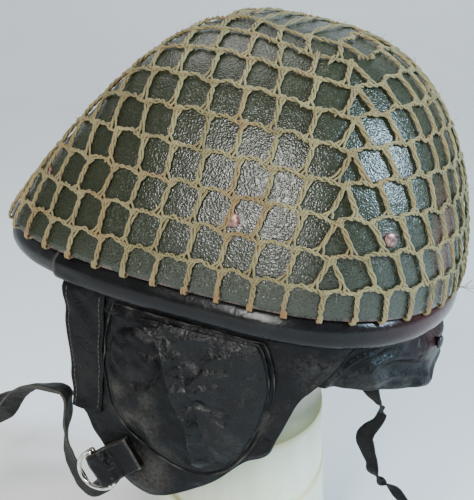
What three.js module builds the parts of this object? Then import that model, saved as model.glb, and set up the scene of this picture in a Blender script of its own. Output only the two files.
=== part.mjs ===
import * as THREE from 'three';

// Paratrooper helmet on a plain tube stand.
// Millimetres, +Z up, the wearer's front towards -Y and the wearer's left towards +X.
// The origin is the centre of the stand's flat foot.
// The helmet's pieces are drawn in the helmet's own frame: its rim lies in z = 0 and
// its widest point in y = 0. One group then lifts that frame and tips its front up.

// Rim of the steel shell seen from above: two half superellipses, front and rear.
const RIM = { front: 190, rear: 107, half: 124, frontPower: 2.8, rearPower: 2.3 };

// Steel shell, with its crown above the middle of the rim.
const SHELL = { height: 151, wall: 1.3, crownY: -44, columns: 50, rows: 11 };

// Meridians: height = crown height x (1 - reach ^ shoulder) ^ (1 / flank).
const MERIDIANS = {
  front: { shoulder: 1.5, flank: 1.0 },
  side: { shoulder: 2.6, flank: 1.75 },
  rear: { shoulder: 3.3, flank: 1.83 },
};

// String net stretched over the shell. Distances run up the shell from its rim.
const NET = {
  hem: 1,
  firstRow: 19,
  rowStep: 21.6,
  cornerDegrees: 23,
  cornerTwist: 20,
  width: 4,
  lift: 2.1,
  thickness: 1.8,
  crownShift: 8,
  crownLift: 1,
};

// Meshes in each ring of the net, in four sectors between its corner lines.
const NET_RINGS = [
  { rear: 11, right: 11, front: 11, left: 11 },
  { rear: 10, right: 11, front: 10, left: 11 },
  { rear: 9, right: 11, front: 9, left: 11 },
  { rear: 8, right: 10, front: 8, left: 10 },
  { rear: 7, right: 9, front: 7, left: 9 },
  { rear: 6, right: 8, front: 6, left: 8 },
  { rear: 5, right: 7, front: 5, left: 7 },
  { rear: 4, right: 6, front: 4, left: 6 },
  { rear: 3, right: 5, front: 3, left: 5 },
];

// Rubber bumper under the shell's edge, and the leather bound round it.
const BUMPER = { inset: 8, drop: 9.6, halfWide: 7, halfTall: 9, columns: 52, sides: 8 };
const BINDING = {
  gap: 0.4,
  wall: 1.5,
  startDegrees: -34.5,
  columns: 36,
  topDegrees: 62,
  lowDegrees: -118,
  rows: 8,
};

// Leather hood below the bumper.
const HOOD = { top: -22, inset: 9, lean: 0.1, wall: 2 };
const PIECE_GAP = 0.4;

// Ear flap: each row is one fold line from the bumper down to the free edge.
const EAR_FLAP_FOLDS = [
  { topY: -117, lowY: -100, lowZ: -106 },
  { topY: -102, lowY: -86, lowZ: -119 },
  { topY: -88, lowY: -69, lowZ: -141 },
  { topY: -72, lowY: -53, lowZ: -149 },
  { topY: -54, lowY: -38, lowZ: -146 },
  { topY: -34, lowY: -20, lowZ: -136 },
  { topY: -14, lowY: -4, lowZ: -123 },
  { topY: 6, lowY: 12, lowZ: -108 },
  { topY: 24, lowY: 26, lowZ: -95 },
  { topY: 37, lowY: 32, lowZ: -79 },
  { topY: 48, lowY: 40, lowZ: -61 },
  { topY: 59, lowY: 50, lowZ: -46 },
  { topY: 70, lowY: 62, lowZ: -30 },
];

// Nape flap, tucked inside the ear flaps: angles round the rim, 90 degrees at the
// middle of the back.
const NAPE_FOLDS = [
  { topAngle: 31, lowAngle: 27, lowZ: -50 },
  { topAngle: 38, lowAngle: 34, lowZ: -50 },
  { topAngle: 46, lowAngle: 43, lowZ: -51 },
  { topAngle: 55, lowAngle: 53, lowZ: -54 },
  { topAngle: 65, lowAngle: 65, lowZ: -57 },
  { topAngle: 77, lowAngle: 78, lowZ: -61 },
];
const NAPE_MIDDLE = { topAngle: 90, lowAngle: 90, lowZ: -66 };
const NAPE_TUCK = 2.5;

// Swell of the nape flap at the middle of the back, from its top to its full height.
const NAPE_SWELL = { out: 7, fromAngle: 62, toAngle: 80, topZ: -23, fullZ: -34 };
const FLAP_ROWS = 7;

// Reinforcing strip along the ear flap's front edge.
const TEMPLE_STRIP = {
  topFrontY: -116, lowFrontY: -104, topRearY: -89, lowRearY: -84,
  frontZ: -101, rearZ: -99, wall: 1.4, rows: 5, across: [0, 1 / 3, 2 / 3, 1],
};

// Ear pocket: a soft round patch, and the cover that laps over its rear part.
const POCKET = { y: -33, z: -72, radius: 51, top: -25, wall: 1.4, crown: 5, spokes: 26, rings: 4 };
const COVER = { wall: 1.5, crown: 5, seam: 1, rows: 7, columns: 5 };

// Edge of the cover, from the bumper down to the bottom of the pocket.
const COVER_EDGE = [
  { y: -56, z: -27 },
  { y: -42, z: -43 },
  { y: -35, z: -64 },
  { y: -27, z: -84 },
  { y: -21, z: -100 },
  { y: -19, z: -117 },
];

// Buckle tab: a leather loop sewn to the flap, whose open end holds two D-rings.
const TAB = { foldY: -78, foldZ: -137.5, farY: -60, farZ: -122, width: 22, stock: 3.4 };
const TAB_LOOP = {
  radius: 4.9, lift: 1, slotHalf: 3.2, slotFrom: -0.2, slotTo: 0.9, shoulder: 7, taper: 14, arcSteps: 6,
};
const D_RING = { wire: 2.8, bar: 27, bow: 20, sides: 6, bowSteps: 12 };

// Two D-rings: place of the bar along the slot and out of its middle, and the lean of
// the bow away from the hood.
const D_RINGS = [
  { name: 'd_ring_outer', along: 0.2, out: 1.55, backDegrees: 80 },
  { name: 'd_ring_inner', along: 0.4, out: -1.6, backDegrees: 62 },
];

// Chin strap, a flat band. Each row is a place on its middle line, and the direction
// across its width.
const STRAP = { width: 14, thickness: 2.2, steps: 72 };
const STRAP_ROUTE = [
  { x: 93, y: -69, z: -130, acrossX: 0, acrossY: 0.65, acrossZ: -0.76 },
  { x: 95.4, y: -83, z: -142, acrossX: 0, acrossY: 0.65, acrossZ: -0.76 },
  { x: 97.3, y: -90, z: -150, acrossX: 0.1, acrossY: 0.75, acrossZ: -0.6 },
  { x: 95.4, y: -89.5, z: -160, acrossX: 0.1, acrossY: 0.95, acrossZ: -0.1 },
  { x: 92, y: -95, z: -160.5, acrossX: 0.2, acrossY: 0.8, acrossZ: 0.4 },
  { x: 90, y: -101.5, z: -153.5, acrossX: 0.45, acrossY: 0.67, acrossZ: 0.52 },
  { x: 90, y: -106.6, z: -146.3, acrossX: 0.56, acrossY: 0.66, acrossZ: 0.5 },
  { x: 90, y: -110.1, z: -138, acrossX: 0.71, acrossY: 0.58, acrossZ: 0.38 },
  { x: 90, y: -111.8, z: -129, acrossX: 0.87, acrossY: 0.35, acrossZ: 0.32 },
  { x: 90, y: -112.4, z: -119, acrossX: 0.95, acrossY: 0.05, acrossZ: 0.3 },
  { x: 90, y: -113, z: -109, acrossX: 0.97, acrossY: 0.1, acrossZ: 0.2 },
  { x: 89, y: -115, z: -103.5, acrossX: 1, acrossY: 0.1, acrossZ: 0.1 },
  { x: 87, y: -120, z: -101, acrossX: 1, acrossY: 0, acrossZ: 0 },
  { x: 84, y: -131, z: -102.5, acrossX: 0.95, acrossY: -0.3, acrossZ: 0.1 },
  { x: 80, y: -144, z: -108, acrossX: 0.9, acrossY: -0.4, acrossZ: 0.2 },
  { x: 74, y: -157, z: -120, acrossX: 0.8, acrossY: -0.5, acrossZ: 0.3 },
  { x: 65, y: -170, z: -140, acrossX: 0.6, acrossY: -0.4, acrossZ: 0.6 },
  { x: 52, y: -192, z: -158, acrossX: 0.5, acrossY: -0.4, acrossZ: 0.7 },
  { x: 28, y: -212, z: -178, acrossX: 0.3, acrossY: -0.4, acrossZ: 0.8 },
  { x: 0, y: -226, z: -190, acrossX: 0.2, acrossY: -0.3, acrossZ: 0.9 },
  { x: -26, y: -233, z: -195, acrossX: 0.2, acrossY: 0, acrossZ: 0.95 },
  { x: -48, y: -231, z: -191.5, acrossX: 0.5, acrossY: 0.2, acrossZ: 0.8 },
  { x: -66, y: -211, z: -182, acrossX: 0.9, acrossY: 0.3, acrossZ: 0.3 },
  { x: -78, y: -188, z: -184, acrossX: 0.95, acrossY: 0.2, acrossZ: 0.2 },
  { x: -84, y: -176, z: -183, acrossX: 0.9, acrossY: 0.2, acrossZ: 0.4 },
  { x: -92, y: -158, z: -172, acrossX: 0.6, acrossY: 0.1, acrossZ: 0.8 },
  { x: -98, y: -142, z: -158, acrossX: 0.3, acrossY: 0, acrossZ: 0.95 },
  { x: -104, y: -122, z: -142, acrossX: 0, acrossY: 0, acrossZ: 1 },
  { x: -108, y: -98, z: -130, acrossX: 0, acrossY: 0, acrossZ: 1 },
  { x: -110.5, y: -72, z: -121.5, acrossX: 0, acrossY: 0, acrossZ: 1 },
  { x: -110.5, y: -52, z: -116, acrossX: 0, acrossY: 0, acrossZ: 1 },
];

// Nape tie, a thin crumpled strip that hangs from the nape flap's left hem.
const TIE = { width: 8, thickness: 1.2, slant: 0.4, steps: 26 };
const TIE_ROUTE = [
  { x: 59.5, y: 75, z: -58.2, across: 10 },
  { x: 59.5, y: 80, z: -64, across: -15 },
  { x: 59.5, y: 85, z: -70, across: -60 },
  { x: 59, y: 83, z: -80, across: -20 },
  { x: 59, y: 78, z: -91, across: 25 },
  { x: 59, y: 82, z: -101, across: 5 },
  { x: 59, y: 86, z: -109, across: -25 },
  { x: 59, y: 93, z: -116.5, across: 0 },
  { x: 59, y: 103, z: -121, across: 30 },
  { x: 59, y: 115, z: -130, across: 10 },
];

// Domed rivet heads on the shell, the same on both sides.
const RIVET = { radius: 4.6, shoulder: 3.4, rise: 0.7, dome: 1, gap: 0.3, segments: 10 };
const RIVET_PLACES = [
  { name: 'rivet_side', angle: -1, height: 47.4 },
  { name: 'rivet_rear', angle: 46, height: 47.9 },
  { name: 'rivet_front', angle: -51, height: 39.1 },
];

// Snap stud at the back of the nape flap.
const STUD = { radius: 4.5, neck: 3.1, under: 2, edge: 2.8, top: 4.5, length: 5, angle: 86, z: -33 };

// Stand: a translucent tube in three telescoped turns, closed at its foot.
const STAND = { radius: 57, wall: 2, turn: 0.8, lowTurn: 62, highTurn: 102, foot: 3, segments: 40 };

// Place of the helmet on the stand.
const HELMET = { y: 42, z: 210, tiltDegrees: -9.2 };
const STAND_HEIGHT = 323;

// Fineness of the curves that the pieces are laid out on.
const SAMPLING = { rim: 180, meridian: 24, domeLines: 90, ring: 360, halvings: 30, step: 0.02 };

const COLOURS = {
  olive: 0x3d4236,
  string: 0xb4a06e,
  rubber: 0x1d1e20,
  leather: 0x2b2c2d,
  chrome: 0xc9c9c4,
  copper: 0x8a6055,
  plastic: 0xd2d2bb,
};

const power = (value, exponent) => Math.sign(value) * Math.abs(value) ** exponent;
const radians = THREE.MathUtils.degToRad;
const mix = THREE.MathUtils.lerp;

// Closed body from shared points and triangles, with its faces turned outwards.
function closedBody(points, triangles) {
  const volume = triangles.reduce((sum, [a, b, c]) => {
    const normal = new THREE.Vector3().crossVectors(points[b], points[c]);
    return sum + points[a].dot(normal);
  }, 0);
  const index = triangles.flatMap(([a, b, c]) => (volume > 0 ? [a, b, c] : [a, c, b]));
  const geometry = new THREE.BufferGeometry().setFromPoints(points);
  geometry.setIndex(index);
  geometry.computeVertexNormals();
  return geometry;
}

// Wall between two grids of points, given row by row. `wrap` closes the rows on
// themselves, and `pole` says that the last row is one point.
function wallBody(outer, inner, { wrap = false, pole = false } = {}) {
  const columns = outer[0].length;
  const lastRow = outer.length - 1;
  const points = [...outer.flat(), ...inner.flat()];
  const triangles = [];
  const at = (side, row, column) => {
    const start = side * (points.length / 2) + row * columns;
    return pole && row === lastRow ? start : start + (column % columns);
  };
  const quad = (a, b, c, d) => {
    triangles.push([a, b, c]);
    if (c !== d) triangles.push([a, c, d]);
  };
  const spans = wrap ? columns : columns - 1;
  for (let row = 0; row < lastRow; row += 1) {
    for (let column = 0; column < spans; column += 1) {
      const next = column + 1;
      quad(at(0, row, column), at(0, row, next), at(0, row + 1, next), at(0, row + 1, column));
      quad(at(1, row, next), at(1, row, column), at(1, row + 1, column), at(1, row + 1, next));
    }
    if (!wrap) {
      quad(at(1, row, 0), at(0, row, 0), at(0, row + 1, 0), at(1, row + 1, 0));
      quad(at(0, row, spans), at(1, row, spans), at(1, row + 1, spans), at(0, row + 1, spans));
    }
  }
  for (let column = 0; column < spans; column += 1) {
    const next = column + 1;
    quad(at(1, 0, column), at(1, 0, next), at(0, 0, next), at(0, 0, column));
    if (!pole) {
      quad(at(0, lastRow, column), at(0, lastRow, next), at(1, lastRow, next), at(1, lastRow, column));
    }
  }
  return closedBody(points, triangles);
}

// Body carried through a row of convex sections, with flat ends unless it is a ring.
function sweptBody(sections, ring = false) {
  const sides = sections[0].length;
  const count = sections.length;
  const triangles = [];
  for (let step = 0; step < (ring ? count : count - 1); step += 1) {
    const near = step * sides;
    const far = ((step + 1) % count) * sides;
    for (let side = 0; side < sides; side += 1) {
      const next = (side + 1) % sides;
      triangles.push([near + side, near + next, far + next]);
      triangles.push([near + side, far + next, far + side]);
    }
  }
  if (!ring) {
    const last = (count - 1) * sides;
    for (let side = 1; side < sides - 1; side += 1) {
      triangles.push([0, side + 1, side]);
      triangles.push([last, last + side, last + side + 1]);
    }
  }
  return closedBody(sections.flat(), triangles);
}

// Point of the rim plan at an angle: 0 at the wearer's left, 90 degrees at the rear.
function rimPoint(angle, inset = 0) {
  const rear = Math.sin(angle) > 0;
  const exponent = 2 / (rear ? RIM.rearPower : RIM.frontPower);
  const length = (rear ? RIM.rear : RIM.front) - inset;
  const x = (RIM.half - inset) * power(Math.cos(angle), exponent);
  return new THREE.Vector3(x, length * power(Math.sin(angle), exponent), 0);
}

// Angle at which the rim, drawn in by `inset`, has a given y.
function angleAtY(y, inset = 0) {
  const length = (y > 0 ? RIM.rear : RIM.front) - inset;
  const exponent = (y > 0 ? RIM.rearPower : RIM.frontPower) / 2;
  return Math.asin(power(y / length, exponent));
}

const rimCurve = new THREE.CatmullRomCurve3(
  Array.from({ length: SAMPLING.rim }, (_, i) => rimPoint((2 * Math.PI * i) / SAMPLING.rim)),
  true,
);

// Angle at a share of the way round the rim, measured along it.
const angleAtArc = (share) => 2 * Math.PI * rimCurve.getUtoTmapping(share - Math.floor(share));

// Line over the shell from the rim to the crown at one angle.
function meridian(angle, inset = 0) {
  const towards = Math.sin(angle) > 0 ? MERIDIANS.rear : MERIDIANS.front;
  const share = Math.sin(angle) ** 2;
  const shoulder = mix(MERIDIANS.side.shoulder, towards.shoulder, share);
  const flank = mix(MERIDIANS.side.flank, towards.flank, share);
  const rim = rimPoint(angle, inset);
  const points = Array.from({ length: SAMPLING.meridian + 1 }, (_, i) => {
    const turn = (Math.PI / 2) * (i / SAMPLING.meridian);
    const reach = Math.max(Math.cos(turn), 0) ** (2 / shoulder);
    const height = (SHELL.height - inset) * Math.sin(turn) ** (2 / flank);
    return new THREE.Vector3(rim.x * reach, mix(SHELL.crownY, rim.y, reach), height);
  });
  return new THREE.CatmullRomCurve3(points);
}

// Rows of points over the dome, the last one being the crown.
function domeRows(inset) {
  const lines = Array.from({ length: SHELL.columns }, (_, i) =>
    meridian(angleAtArc(i / SHELL.columns), inset));
  const rows = Array.from({ length: SHELL.rows }, (_, row) =>
    lines.map((line) => line.getPointAt(row / SHELL.rows)));
  return [...rows, [lines[0].getPointAt(1)]];
}

const steelShell = () => wallBody(domeRows(0), domeRows(SHELL.wall), { wrap: true, pole: true });

const domeLines = Array.from({ length: SAMPLING.domeLines }, (_, i) =>
  meridian((2 * Math.PI * i) / SAMPLING.domeLines));

// Closed curve round the dome at a distance up from the rim.
function domeRing(distance) {
  const points = domeLines.map((line) => line.getPointAt(distance / line.getLength()));
  return new THREE.CatmullRomCurve3(points, true);
}

// Knots of one ring, evenly spaced along it from the net's rear left corner line.
function ringKnots(distance, count) {
  const ring = domeRing(distance);
  const above = domeRing(distance + NET.thickness);
  const climb = distance / SHELL.height;
  const start = (NET.cornerDegrees + NET.cornerTwist * climb ** 2) / 360;
  const lengths = ring.getLengths(SAMPLING.ring);
  const startShare = lengths[Math.round(start * SAMPLING.ring)] / lengths[SAMPLING.ring];
  return Array.from({ length: count }, (_, i) => {
    const share = (startShare + i / count) % 1;
    const centre = ring.getPointAt(share);
    const rise = above.getPointAt(share).sub(centre);
    const normal = ring.getTangentAt(share).cross(rise).normalize();
    return { centre, normal, ends: [] };
  });
}

// Strands of the net as pairs of knot numbers, `starts` being each ring's first knot.
// Going down a ring, every sector that grows gets one new column at its first corner.
function netStrands(sectors, starts, crown) {
  const strands = [];
  const sizes = sectors.map((sector) => Object.values(sector));
  const counts = sizes.map((row) => row.reduce((sum, size) => sum + size, 0));
  sizes.forEach((row, ring) => {
    const knot = (i) => starts[ring] + (i % counts[ring]);
    for (let i = 0; i < counts[ring] && ring > 0; i += 1) strands.push([knot(i), knot(i + 1)]);
    const above = sizes[ring + 1];
    let first = 0;
    let firstAbove = 0;
    row.forEach((size, sector) => {
      const grown = above ? size - above[sector] : 0;
      for (let i = 0; above && i < above[sector]; i += 1) {
        const upper = starts[ring + 1] + firstAbove + i;
        strands.push([knot(first + i + grown), upper]);
        if (i === 0 && grown > 0) strands.push([knot(first), upper]);
      }
      first += size;
      firstAbove += above ? above[sector] : 0;
    });
    for (let i = 0; !above && i < counts[ring]; i += 2) strands.push([knot(i), crown]);
  });
  return strands;
}

// Flat lattice that follows the shell: a patch at each knot, a ribbon for each strand.
function stringNet() {
  const sectors = [NET_RINGS[0], ...NET_RINGS];
  const places = [];
  const starts = sectors.map((sector, ring) => {
    const start = places.length;
    const count = Object.values(sector).reduce((sum, size) => sum + size, 0);
    const distance = ring === 0 ? NET.hem : NET.firstRow + NET.rowStep * (ring - 1);
    places.push(...ringKnots(distance, count));
    return start;
  });
  const crown = places.length;
  const rearLine = domeLines[Math.round(SAMPLING.domeLines / 4)];
  const crownPoint = rearLine.getPointAt(1 - NET.crownShift / rearLine.getLength());
  crownPoint.z += NET.crownLift;
  places.push({ centre: crownPoint, normal: new THREE.Vector3(0, 0, 1), ends: [] });
  const strands = netStrands(sectors, starts, crown);
  strands.forEach(([a, b]) => {
    places[a].ends.push({ to: b });
    places[b].ends.push({ to: a });
  });
  const points = [];
  const cornerOf = new Map();
  const addCorner = (place, offset) => {
    const base = place.centre.clone().add(offset);
    points.push(base.clone().addScaledVector(place.normal, NET.lift + NET.thickness));
    points.push(base.addScaledVector(place.normal, NET.lift));
    return points.length - 2;
  };
  const patches = places.map((place, knot) => {
    const east = new THREE.Vector3(0, 0, 1).cross(place.normal);
    if (east.lengthSq() === 0) east.set(1, 0, 0);
    east.normalize();
    const north = new THREE.Vector3().crossVectors(place.normal, east);
    place.ends.forEach((end) => {
      const direction = places[end.to].centre.clone().sub(place.centre);
      end.turn = Math.atan2(direction.dot(north), direction.dot(east));
    });
    place.ends.sort((a, b) => a.turn - b.turn);
    const count = place.ends.length;
    const half = NET.width / 2;
    return place.ends.map((end, i) => {
      const next = place.ends[(i + 1) % count];
      const gap = (next.turn - end.turn + 2 * Math.PI) % (2 * Math.PI) || 2 * Math.PI;
      const reach = Math.min(half / Math.sin(Math.min(gap, Math.PI) / 2), 2 * half);
      const corners = [];
      if (count === 1) {
        [1, -1].forEach((side) => corners.push(addCorner(place, new THREE.Vector3()
          .addScaledVector(east, -side * half * Math.sin(end.turn))
          .addScaledVector(north, side * half * Math.cos(end.turn)))));
      } else {
        const middle = end.turn + gap / 2;
        corners.push(addCorner(place, new THREE.Vector3()
          .addScaledVector(east, reach * Math.cos(middle))
          .addScaledVector(north, reach * Math.sin(middle))));
      }
      cornerOf.set(`${knot}>${end.to}:left`, corners[0]);
      cornerOf.set(`${knot}>${next.to}:right`, corners[corners.length - 1]);
      return corners;
    }).flat();
  });
  const triangles = [];
  const slab = (ring, openSides) => {
    for (let i = 1; i < ring.length - 1; i += 1) {
      triangles.push([ring[0], ring[i], ring[i + 1]]);
      triangles.push([ring[0] + 1, ring[i + 1] + 1, ring[i] + 1]);
    }
    openSides.forEach(([from, to]) => {
      triangles.push([from, from + 1, to + 1]);
      triangles.push([from, to + 1, to]);
    });
  };
  patches.forEach((ring) => {
    if (ring.length === 2) slab(ring, [[ring[0], ring[1]]]);
    else slab(ring, []);
  });
  strands.forEach(([a, b]) => {
    const aLeft = cornerOf.get(`${a}>${b}:left`);
    const aRight = cornerOf.get(`${a}>${b}:right`);
    const bLeft = cornerOf.get(`${b}>${a}:left`);
    const bRight = cornerOf.get(`${b}>${a}:right`);
    slab([aRight, bLeft, bRight, aLeft], [[aRight, bLeft], [bRight, aLeft]]);
  });
  return closedBody(points, triangles);
}

// Section of the bumper or its binding: a point on an ellipse under the shell's edge.
function bumperPoint(angle, turn, extra = 0) {
  const out = rimPoint(angle, BUMPER.inset);
  const further = rimPoint(angle, BUMPER.inset - 1).sub(out).normalize();
  const reach = (BUMPER.halfWide + extra) * Math.cos(turn);
  const rise = (BUMPER.halfTall + extra) * Math.sin(turn) - BUMPER.drop;
  return out.addScaledVector(further, reach).setZ(rise);
}

function rimBumper() {
  const sections = Array.from({ length: BUMPER.columns }, (_, i) => {
    const angle = angleAtArc(i / BUMPER.columns);
    return Array.from({ length: BUMPER.sides }, (_, side) =>
      bumperPoint(angle, (2 * Math.PI * side) / BUMPER.sides));
  });
  return sweptBody(sections, true);
}

// Leather wrapped over the bumper from temple to temple round the back.
function hoodBinding() {
  const start = radians(BINDING.startDegrees);
  const end = Math.PI - start;
  const rows = (extra) => Array.from({ length: BINDING.columns + 1 }, (_, i) => {
    const angle = mix(start, end, i / BINDING.columns);
    return Array.from({ length: BINDING.rows + 1 }, (_, j) => {
      const turn = radians(mix(BINDING.topDegrees, BINDING.lowDegrees, j / BINDING.rows));
      return bumperPoint(angle, turn, extra);
    });
  });
  return wallBody(rows(BINDING.gap + BINDING.wall), rows(BINDING.gap));
}

const hoodInset = (z) => HOOD.inset + HOOD.lean * (HOOD.top - z);

// Point of the hood's outer face at an angle, `out` millimetres proud of it.
const hoodPoint = (angle, z, out = 0) => rimPoint(angle, hoodInset(z) - out).setZ(z);

// The same at the wearer's left or right side, placed by its y.
function sidePoint(y, z, out = 0, side = 1) {
  const point = hoodPoint(angleAtY(y, hoodInset(z)), z, out);
  return point.setX(side * point.x);
}

// Wall over a patch of one side of the hood given row by row as { y, z, out }.
function sidePatch(rows, wall, side) {
  const place = (extra) => rows.map((row) => row.map(({ y, z, out = 0 }) =>
    sidePoint(y, z, out + extra, side)));
  return wallBody(place(0), place(-wall));
}

function earFlap(side) {
  const rows = Array.from({ length: FLAP_ROWS + 1 }, (_, row) => {
    const share = row / FLAP_ROWS;
    return EAR_FLAP_FOLDS.map(({ topY, lowY, lowZ }) => (
      { y: mix(topY, lowY, share), z: mix(HOOD.top, lowZ, share) }));
  });
  return sidePatch(rows, HOOD.wall, side);
}

// Outward swell of the nape flap at an angle round the rim and a height.
function napeSwell(degrees, z) {
  const round = THREE.MathUtils.smoothstep(
    90 - Math.abs(90 - degrees), NAPE_SWELL.fromAngle, NAPE_SWELL.toAngle);
  const down = THREE.MathUtils.smoothstep(-z, -NAPE_SWELL.topZ, -NAPE_SWELL.fullZ);
  return NAPE_SWELL.out * round * down - NAPE_TUCK;
}

function napeFlap() {
  const mirrored = NAPE_FOLDS.map(({ topAngle, lowAngle, lowZ }) => (
    { topAngle: 180 - topAngle, lowAngle: 180 - lowAngle, lowZ })).reverse();
  const folds = [...NAPE_FOLDS, NAPE_MIDDLE, ...mirrored];
  const place = (out) => Array.from({ length: FLAP_ROWS + 1 }, (_, row) => {
    const share = row / FLAP_ROWS;
    return folds.map(({ topAngle, lowAngle, lowZ }) => {
      const degrees = mix(topAngle, lowAngle, share);
      const z = mix(HOOD.top, lowZ, share);
      return hoodPoint(radians(degrees), z, napeSwell(degrees, z) + out);
    });
  });
  return wallBody(place(0), place(-HOOD.wall));
}

function templeStrip(side) {
  const strip = TEMPLE_STRIP;
  const rows = Array.from({ length: strip.rows + 1 }, (_, row) => {
    const share = row / strip.rows;
    const front = mix(strip.topFrontY, strip.lowFrontY, share);
    const rear = mix(strip.topRearY, strip.lowRearY, share);
    return strip.across.map((across) => ({
      y: mix(front, rear, across),
      z: mix(HOOD.top, mix(strip.frontZ, strip.rearZ, across), share),
      out: PIECE_GAP + strip.wall,
    }));
  });
  return sidePatch(rows, strip.wall, side);
}

// Distance from the pocket's middle to its seam, cut off level under the bumper.
function pocketReach(turn) {
  const headroom = POCKET.top - POCKET.z;
  const rise = Math.sin(turn);
  return rise * POCKET.radius > headroom ? headroom / rise : POCKET.radius;
}

const pocketCrown = (share) => 1 - share ** 2;

function earPocket(side) {
  const place = (share, turn, out) => {
    const reach = share * pocketReach(turn);
    const z = POCKET.z + reach * Math.sin(turn);
    const lift = out + POCKET.crown * pocketCrown(share);
    return sidePoint(POCKET.y + reach * Math.cos(turn), z, lift, side);
  };
  const rows = (out) => [
    ...Array.from({ length: POCKET.rings }, (_, ring) =>
      Array.from({ length: POCKET.spokes }, (_, spoke) =>
        place(1 - ring / POCKET.rings, (2 * Math.PI * spoke) / POCKET.spokes, out))),
    [place(0, 0, out)],
  ];
  return wallBody(rows(PIECE_GAP + POCKET.wall), rows(PIECE_GAP), { wrap: true, pole: true });
}

// Cover that laps over the pocket from its crumpled edge back to the seam.
function pocketCover(side) {
  const edge = new THREE.CatmullRomCurve3(COVER_EDGE.map(({ y, z }) => new THREE.Vector3(0, y, z)));
  const rows = Array.from({ length: COVER.rows + 1 }, (_, row) => {
    const start = edge.getPointAt(row / COVER.rows);
    const level = start.z - POCKET.z;
    const seamY = POCKET.y + Math.sqrt(Math.max(POCKET.radius ** 2 - level ** 2, 0)) - COVER.seam;
    return Array.from({ length: COVER.columns + 1 }, (_, column) => {
      const y = mix(start.y, seamY, column / COVER.columns);
      const share = Math.min(Math.hypot(y - POCKET.y, level) / POCKET.radius, 1);
      const out = 2 * PIECE_GAP + POCKET.wall + COVER.wall + COVER.crown * pocketCrown(share);
      return { y, z: start.z, out };
    });
  });
  return sidePatch(rows, COVER.wall, side);
}

// Frame of the buckle tab: origin at its fold, x towards the far edge, z outwards.
function tabFrame() {
  const fold = sidePoint(TAB.foldY, TAB.foldZ);
  const far = sidePoint(TAB.farY, TAB.farZ);
  const along = far.sub(fold).normalize();
  const across = new THREE.Vector3(1, 0, 0).cross(along).normalize();
  const outwards = new THREE.Vector3().crossVectors(along, across);
  const origin = fold.addScaledVector(outwards, PIECE_GAP + TAB_LOOP.radius + TAB_LOOP.lift);
  return new THREE.Matrix4().makeBasis(along, across, outwards).setPosition(origin);
}

function buckleTab() {
  const length = Math.hypot(TAB.farY - TAB.foldY, TAB.farZ - TAB.foldZ);
  const low = -TAB_LOOP.radius;
  const profile = new THREE.Shape();
  profile.moveTo(length, low);
  profile.lineTo(length, low + TAB.stock);
  profile.lineTo(TAB_LOOP.taper, low + TAB.stock);
  profile.lineTo(TAB_LOOP.shoulder, TAB_LOOP.radius);
  profile.absarc(0, 0, TAB_LOOP.radius, Math.PI / 2, 1.5 * Math.PI, false);
  const slot = new THREE.Path();
  slot.moveTo(TAB_LOOP.slotFrom, -TAB_LOOP.slotHalf);
  slot.absarc(TAB_LOOP.slotTo, 0, TAB_LOOP.slotHalf, -Math.PI / 2, Math.PI / 2, false);
  slot.absarc(TAB_LOOP.slotFrom, 0, TAB_LOOP.slotHalf, Math.PI / 2, 1.5 * Math.PI, false);
  profile.holes.push(slot);
  const geometry = new THREE.ExtrudeGeometry(profile, {
    depth: TAB.width, bevelEnabled: false, curveSegments: TAB_LOOP.arcSteps,
  });
  geometry.translate(0, 0, -TAB.width / 2);
  geometry.rotateX(Math.PI / 2);
  return geometry.applyMatrix4(tabFrame());
}

// D-ring: a straight bar closed by a half-round bow.
function dRing({ along, out, backDegrees }) {
  const half = D_RING.bar / 2;
  const path = [new THREE.Vector3(0, -half, 0), new THREE.Vector3(0, half, 0)];
  for (let step = 1; step < D_RING.bowSteps; step += 1) {
    const turn = (Math.PI * step) / D_RING.bowSteps;
    path.push(new THREE.Vector3(0, half * Math.cos(turn), -D_RING.bow * Math.sin(turn)));
  }
  const sections = path.map((centre, i) => {
    const before = path[(i + path.length - 1) % path.length];
    const after = path[(i + 1) % path.length];
    const inwards = after.clone().sub(before).normalize().cross(new THREE.Vector3(1, 0, 0));
    return Array.from({ length: D_RING.sides }, (_, side) => {
      const turn = (2 * Math.PI * side) / D_RING.sides;
      return centre.clone()
        .addScaledVector(inwards, (D_RING.wire / 2) * Math.cos(turn))
        .add(new THREE.Vector3((D_RING.wire / 2) * Math.sin(turn), 0, 0));
    });
  });
  const geometry = sweptBody(sections, true);
  geometry.rotateY(radians(backDegrees));
  geometry.translate(along, 0, out);
  return geometry.applyMatrix4(tabFrame());
}

// Flat band along a route, `across` being the direction over its width at each step.
function flatBand(route, across, { width, thickness, steps }) {
  const middle = new THREE.CatmullRomCurve3(route, false, 'centripetal');
  const widthways = new THREE.CatmullRomCurve3(across, false, 'centripetal');
  const sections = Array.from({ length: steps + 1 }, (_, step) => {
    const share = step / steps;
    const centre = middle.getPointAt(share);
    const tangent = middle.getTangentAt(share);
    const wide = widthways.getPoint(middle.getUtoTmapping(share));
    wide.addScaledVector(tangent, -wide.dot(tangent)).normalize();
    const thick = new THREE.Vector3().crossVectors(tangent, wide);
    return [[1, 1], [-1, 1], [-1, -1], [1, -1]].map(([a, b]) => centre.clone()
      .addScaledVector(wide, (a * width) / 2)
      .addScaledVector(thick, (b * thickness) / 2));
  });
  return sweptBody(sections);
}

function chinStrap() {
  const route = STRAP_ROUTE.map(({ x, y, z }) => new THREE.Vector3(x, y, z));
  const across = STRAP_ROUTE.map((row) => new THREE.Vector3(row.acrossX, row.acrossY, row.acrossZ));
  return flatBand(route, across, STRAP);
}

function napeTie() {
  const route = TIE_ROUTE.map(({ x, y, z }) => new THREE.Vector3(x, y, z));
  const across = TIE_ROUTE.map((row) => {
    const turn = radians(row.across);
    return new THREE.Vector3(TIE.slant * Math.cos(turn), Math.cos(turn), Math.sin(turn));
  });
  return flatBand(route, across, TIE);
}

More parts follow.
